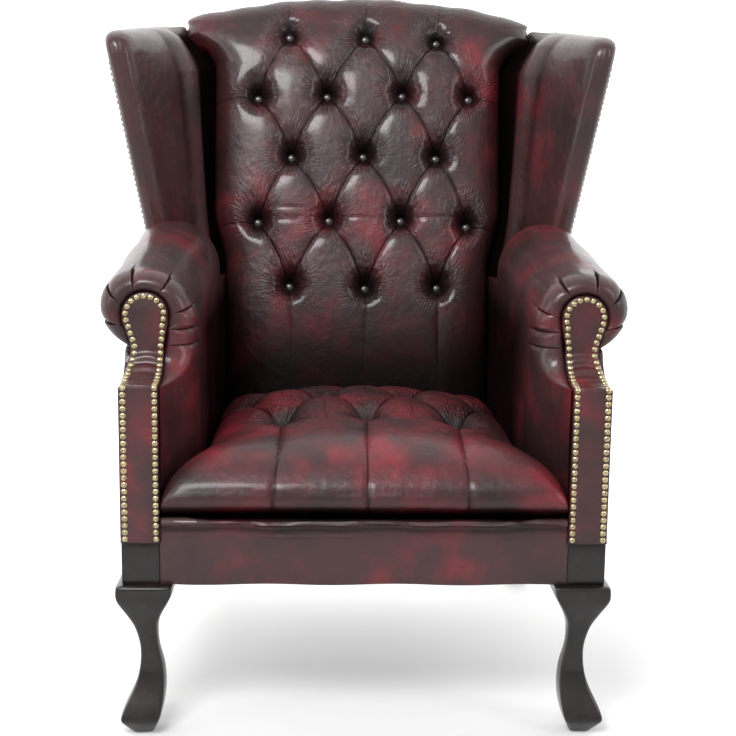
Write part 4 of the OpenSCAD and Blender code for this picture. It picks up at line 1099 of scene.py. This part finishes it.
def wing_place(i, j):
    s = j / (wing_rows - 1)
    over = np.clip((s - 0.9) / 0.1, 0, 1)
    z = mix(wing_foot, wing_top - 24, np.minimum(s / 0.9, 1)) + 24 * np.sin(over * math.pi / 2)
    draw = 21 * (1 - np.cos(over * math.pi / 2))
    nx = wing_out(z) - wing_half
    nose = wing_nose(np.minimum(z, wing_top - 1)) + wing_half
    root = post_depth(z) - cover_clear
    behind = post_depth(z) + post_thick
    f = np.clip(i / nose_from, 0, 1)
    swell = 7 * np.sin(math.pi * f) ** 2 + 11 * bump_at(f, 0.40, 0.09) - 3 * bump_at(f, 0.55, 0.06)
    swell = swell * (1 - 0.6 * over) * (0.3 + 0.7 * step((z - wing_foot) / 110))
    swell = swell + 2.5 * bump_at(f, 0, 0.04)
    inner_x = mix(wing_root(z), nx - wing_half, f) - swell + draw * step(f / 0.35)
    inner_d = mix(root, nose, f)
    turn = math.pi + math.pi * np.clip((i - nose_from) / (nose_to - nose_from), 0, 1)
    lip = 1.5 * np.sin(z / 23) * np.sin(z / 57 + 1)
    nose_x = nx + (wing_half - draw) * np.cos(turn)
    nose_d = nose + (wing_half - draw + lip) * np.sin(turn)
    g = np.clip((i - nose_to) / (flap_at - nose_to), 0, 1)
    flap = 341 + post_spread(z) - draw * 0.8
    outer_x = mix(nx + wing_half - draw, flap, g) + 5 * np.sin(math.pi * g)
    outer_d = mix(nose, behind, g)
    h = np.clip((i - flap_at) / (step_at - flap_at), 0, 1)
    step_x = np.where(z > 1038.2, 291, 335.3) + post_spread(z)
    stretches = [i <= nose_from, i <= nose_to, i <= flap_at, i <= step_at]
    x = np.select(stretches, [inner_x, nose_x, outer_x, mix(flap, step_x, h)], step_x)
    d = np.select(stretches, [inner_d, nose_d, outer_d, behind], behind)
    last = np.clip((i - step_at) / (wing_columns - step_at), 0, 1)
    d = np.where(i > step_at, mix(behind, root, last), d)
    # Painted shade: black near the root where the inside turns in beside the back, a dark crease line,
    # black on the hidden step and darker at the foot over the arm.
    tuck = (1 - step((f - 0.22) / 0.18)) * (1 - 0.85 * step((z - 1030) / 20))
    crease = 0.5 * bump_at(f, 0.54, 0.04) * step((z - 720) / 120) * (1 - over)
    fold = np.where(i <= nose_from, np.maximum(0.95 * tuck, crease), np.where(i > step_at, 1, 0))
    fold = np.maximum(fold, 0.6 * np.exp(-(z - wing_foot) / 6))
    fall = wing_fall(z) * np.clip((root - d) / (root - nose), 0, 1)
    return np.stack([x, d, z - fall], 1), {"fold": fold}


# The turn from the nose to the inside is stuffed soft: each point is the mean of its near columns
def wing_soft(i, j):
    reach = np.clip(np.minimum(i - 6, 97 - i) / 10, 0, 1) * (1 + 3 * step((i - 34) / 24))
    spots, marks = wing_place(i, j)
    near = [wing_place(i + reach * share, j)[0] for share in (-2, -1, 1, 2)]
    return (spots + sum(near)) / 5, marks


wing_leather = leather("wing_leather", 0.12, 0.25)
for piece in covers("wing", "wing_cover", wing_soft, wing_columns, wing_rows, 60, wing_leather):
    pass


def wing_spots(side):
    low, high, behind_nose, proud = 700, 1000, 4, 0.4
    spots = []
    for z in np.arange(low, high, nail_pitch):
        nose = float(wing_nose(np.array(z))) + wing_half
        x = side * (float(wing_out(z)) + proud)
        spots.append((in_metres(x, nose + behind_nose, z - wing_fall(z)), (side, 0.12, 0)))
    return spots


nail_row("wing_nails_left", wing_spots(-1), wing_nail_r, brass, "wing_nails_left")
nail_row("wing_nails_right", wing_spots(1), wing_nail_r, brass, "wing_nails_right")

# Front border
# A strip of leather over card across the front rail, with a soft rolled edge under the seat.
border_half, border_foot, border_top, border_rear = 286.7, 225, 322.6, 9.7
border_over, border_under, border_rows = 30, 5, 240
ridge_z, ridge_out = 314.5, 6


def border_place(i, j):
    rear = i > border_over
    t = np.where(rear, 1 - (i - border_over) / (border_under - 1), i / border_over)
    x = mix(-border_half, border_half, j / (border_rows - 1))
    wave = 1.2 * np.sin(x / 37 + 1) + 0.9 * np.sin(x / 17)
    foot = border_foot + 1.0 * np.sin(x / 29) * (t < 0.1)
    z = mix(foot, border_top, t)
    above = z - ridge_z - wave
    over = np.maximum(ridge_out - 0.55 * above - 0.05 * above ** 2, 0)
    ridge = np.where(above > 0, over, ridge_out * np.exp(-(above / 3.2) ** 2))
    ridge = ridge - 2.4 * np.exp(-((above + 12.5) / 5) ** 2)
    puff = 2.2 * rim(2 * t - 1, 6, 0.5) + 0.5 * np.sin(x / 45 + z / 30) * np.sin(z / 19)
    edge = np.minimum((border_half - np.abs(x)) / 3, 1)
    d = np.where(rear, border_rear, 4 - (puff + ridge) * edge)
    # Painted shade: a dark band under the rolled ridge, black along the top under the seat and on the
    # hidden rear.
    fold = np.maximum(0.55 * np.exp(-((above + 10) / 4) ** 2), np.clip((z - 320) / 2.5, 0, 1))
    return np.stack([x, d, z], 1), {"fold": np.where(rear, 1, fold)}


border_around = border_over + border_under
border = skin("border", border_around + 1, border_rows, ring(border_place, border_around), angle=50)
settle(border, leather("border_leather", 0.4, 0.1), "leather", "front_border")

# Outside panels
# Leather over card, blind tacked along the top and tacked under the rails: one on the outside
# of each arm, and one over the whole back.
def from_node(node, name):
    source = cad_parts[node]
    piece = source.copy()
    piece.data = source.data.copy()
    piece.name = name
    piece.parent = None
    scene.collection.objects.link(piece)

    def merge():
        bpy.ops.mesh.remove_doubles(threshold=0.00002)

    edit(piece, merge)
    return piece


def panel(node, name, outwards):
    piece = from_node(node, name)

    def stuff():
        mesh = bmesh.from_edit_mesh(piece.data)
        for face in mesh.faces:
            face.select_set(face.normal.dot(Vector(outwards)) > 0.9)
        bmesh.update_edit_mesh(piece.data)
        bpy.ops.mesh.inset(thickness=0.002, depth=0.0)
        bpy.ops.mesh.inset(thickness=0.002, depth=0.0014)
        bpy.ops.mesh.inset(thickness=0.004, depth=0.0008)

    edit(piece, stuff)
    smooth(piece, 35)
    settle(piece, panel_leather, "leather", node)


panel_leather = leather("panel_leather", 0.3, 0.5)
panel("outside_arm_left", "outside_left", (-1, 0, 0))
panel("outside_arm_right", "outside_right", (1, 0, 0))
panel("outside_back", "outside_rear", (0, 1, 0))

# Floor and light
# A plain pale sweep that fades into a glowing white behind the chair, and three soft boxes: a wide
# one above the front, one at each side.
bpy.ops.mesh.primitive_plane_add(size=16, location=(0, 2, 0))
floor = bpy.context.object
floor.name = "floor"


def sweep_up():
    mesh = bmesh.from_edit_mesh(floor.data)
    for edge in mesh.edges:
        edge.select_set(all(vertex.co.y > 7.9 for vertex in edge.verts))
    bmesh.update_edit_mesh(floor.data)
    for rise in range(1, 9):
        turn = math.radians(rise * 90 / 8)
        before = math.radians((rise - 1) * 90 / 8)
        move = (0, math.sin(turn) - math.sin(before), math.cos(before) - math.cos(turn))
        bpy.ops.mesh.extrude_region_move(TRANSFORM_OT_translate={"value": move})
    bpy.ops.mesh.extrude_region_move(TRANSFORM_OT_translate={"value": (0, 0, 9)})


edit(floor, sweep_up)
at_origin(floor)
smooth(floor, 60)
pale = Finish("pale")
away = pale.node("ShaderNodeSeparateXYZ", {}, {0: pale.place}, "Y")
lit = pale.between(away * 0.2 + 0.3, 0.2, 0.56)
floor.data.materials.append(pale.surface({
    "Base Color": (0.55, 0.55, 0.55, 1), "Roughness": 0.8, "Emission Strength": 1.0,
    "Emission Color": pale.mix(lit, (0.12, 0.12, 0.12, 1), (1, 1, 1, 1)),
}))

world = bpy.data.worlds.new("world")
scene.world = world
world.use_nodes = True
world.node_tree.nodes["Background"].inputs["Color"].default_value = (1, 1, 1, 1)
world.node_tree.nodes["Background"].inputs["Strength"].default_value = 0.12


def soft_box(name, place, aim, wide, high, power):
    light = bpy.data.lights.new(name, "AREA")
    light.shape = "RECTANGLE"
    light.size = wide
    light.size_y = high
    light.energy = power
    lamp = bpy.data.objects.new(name, light)
    scene.collection.objects.link(lamp)
    lamp.location = place
    lamp.rotation_euler = (Vector(aim) - Vector(place)).to_track_quat("-Z", "Y").to_euler()


soft_box("key", (-0.9, -2.3, 2.6), (0, 0, 0.6), 1.3, 0.9, 96)
soft_box("side_left", (-2.3, -1.3, 1.5), (0, 0, 0.7), 0.7, 1.5, 13)
soft_box("side_right", (2.3, -1.5, 1.7), (0, 0, 0.7), 0.7, 1.5, 19)
scene.view_settings.view_transform = "Standard"
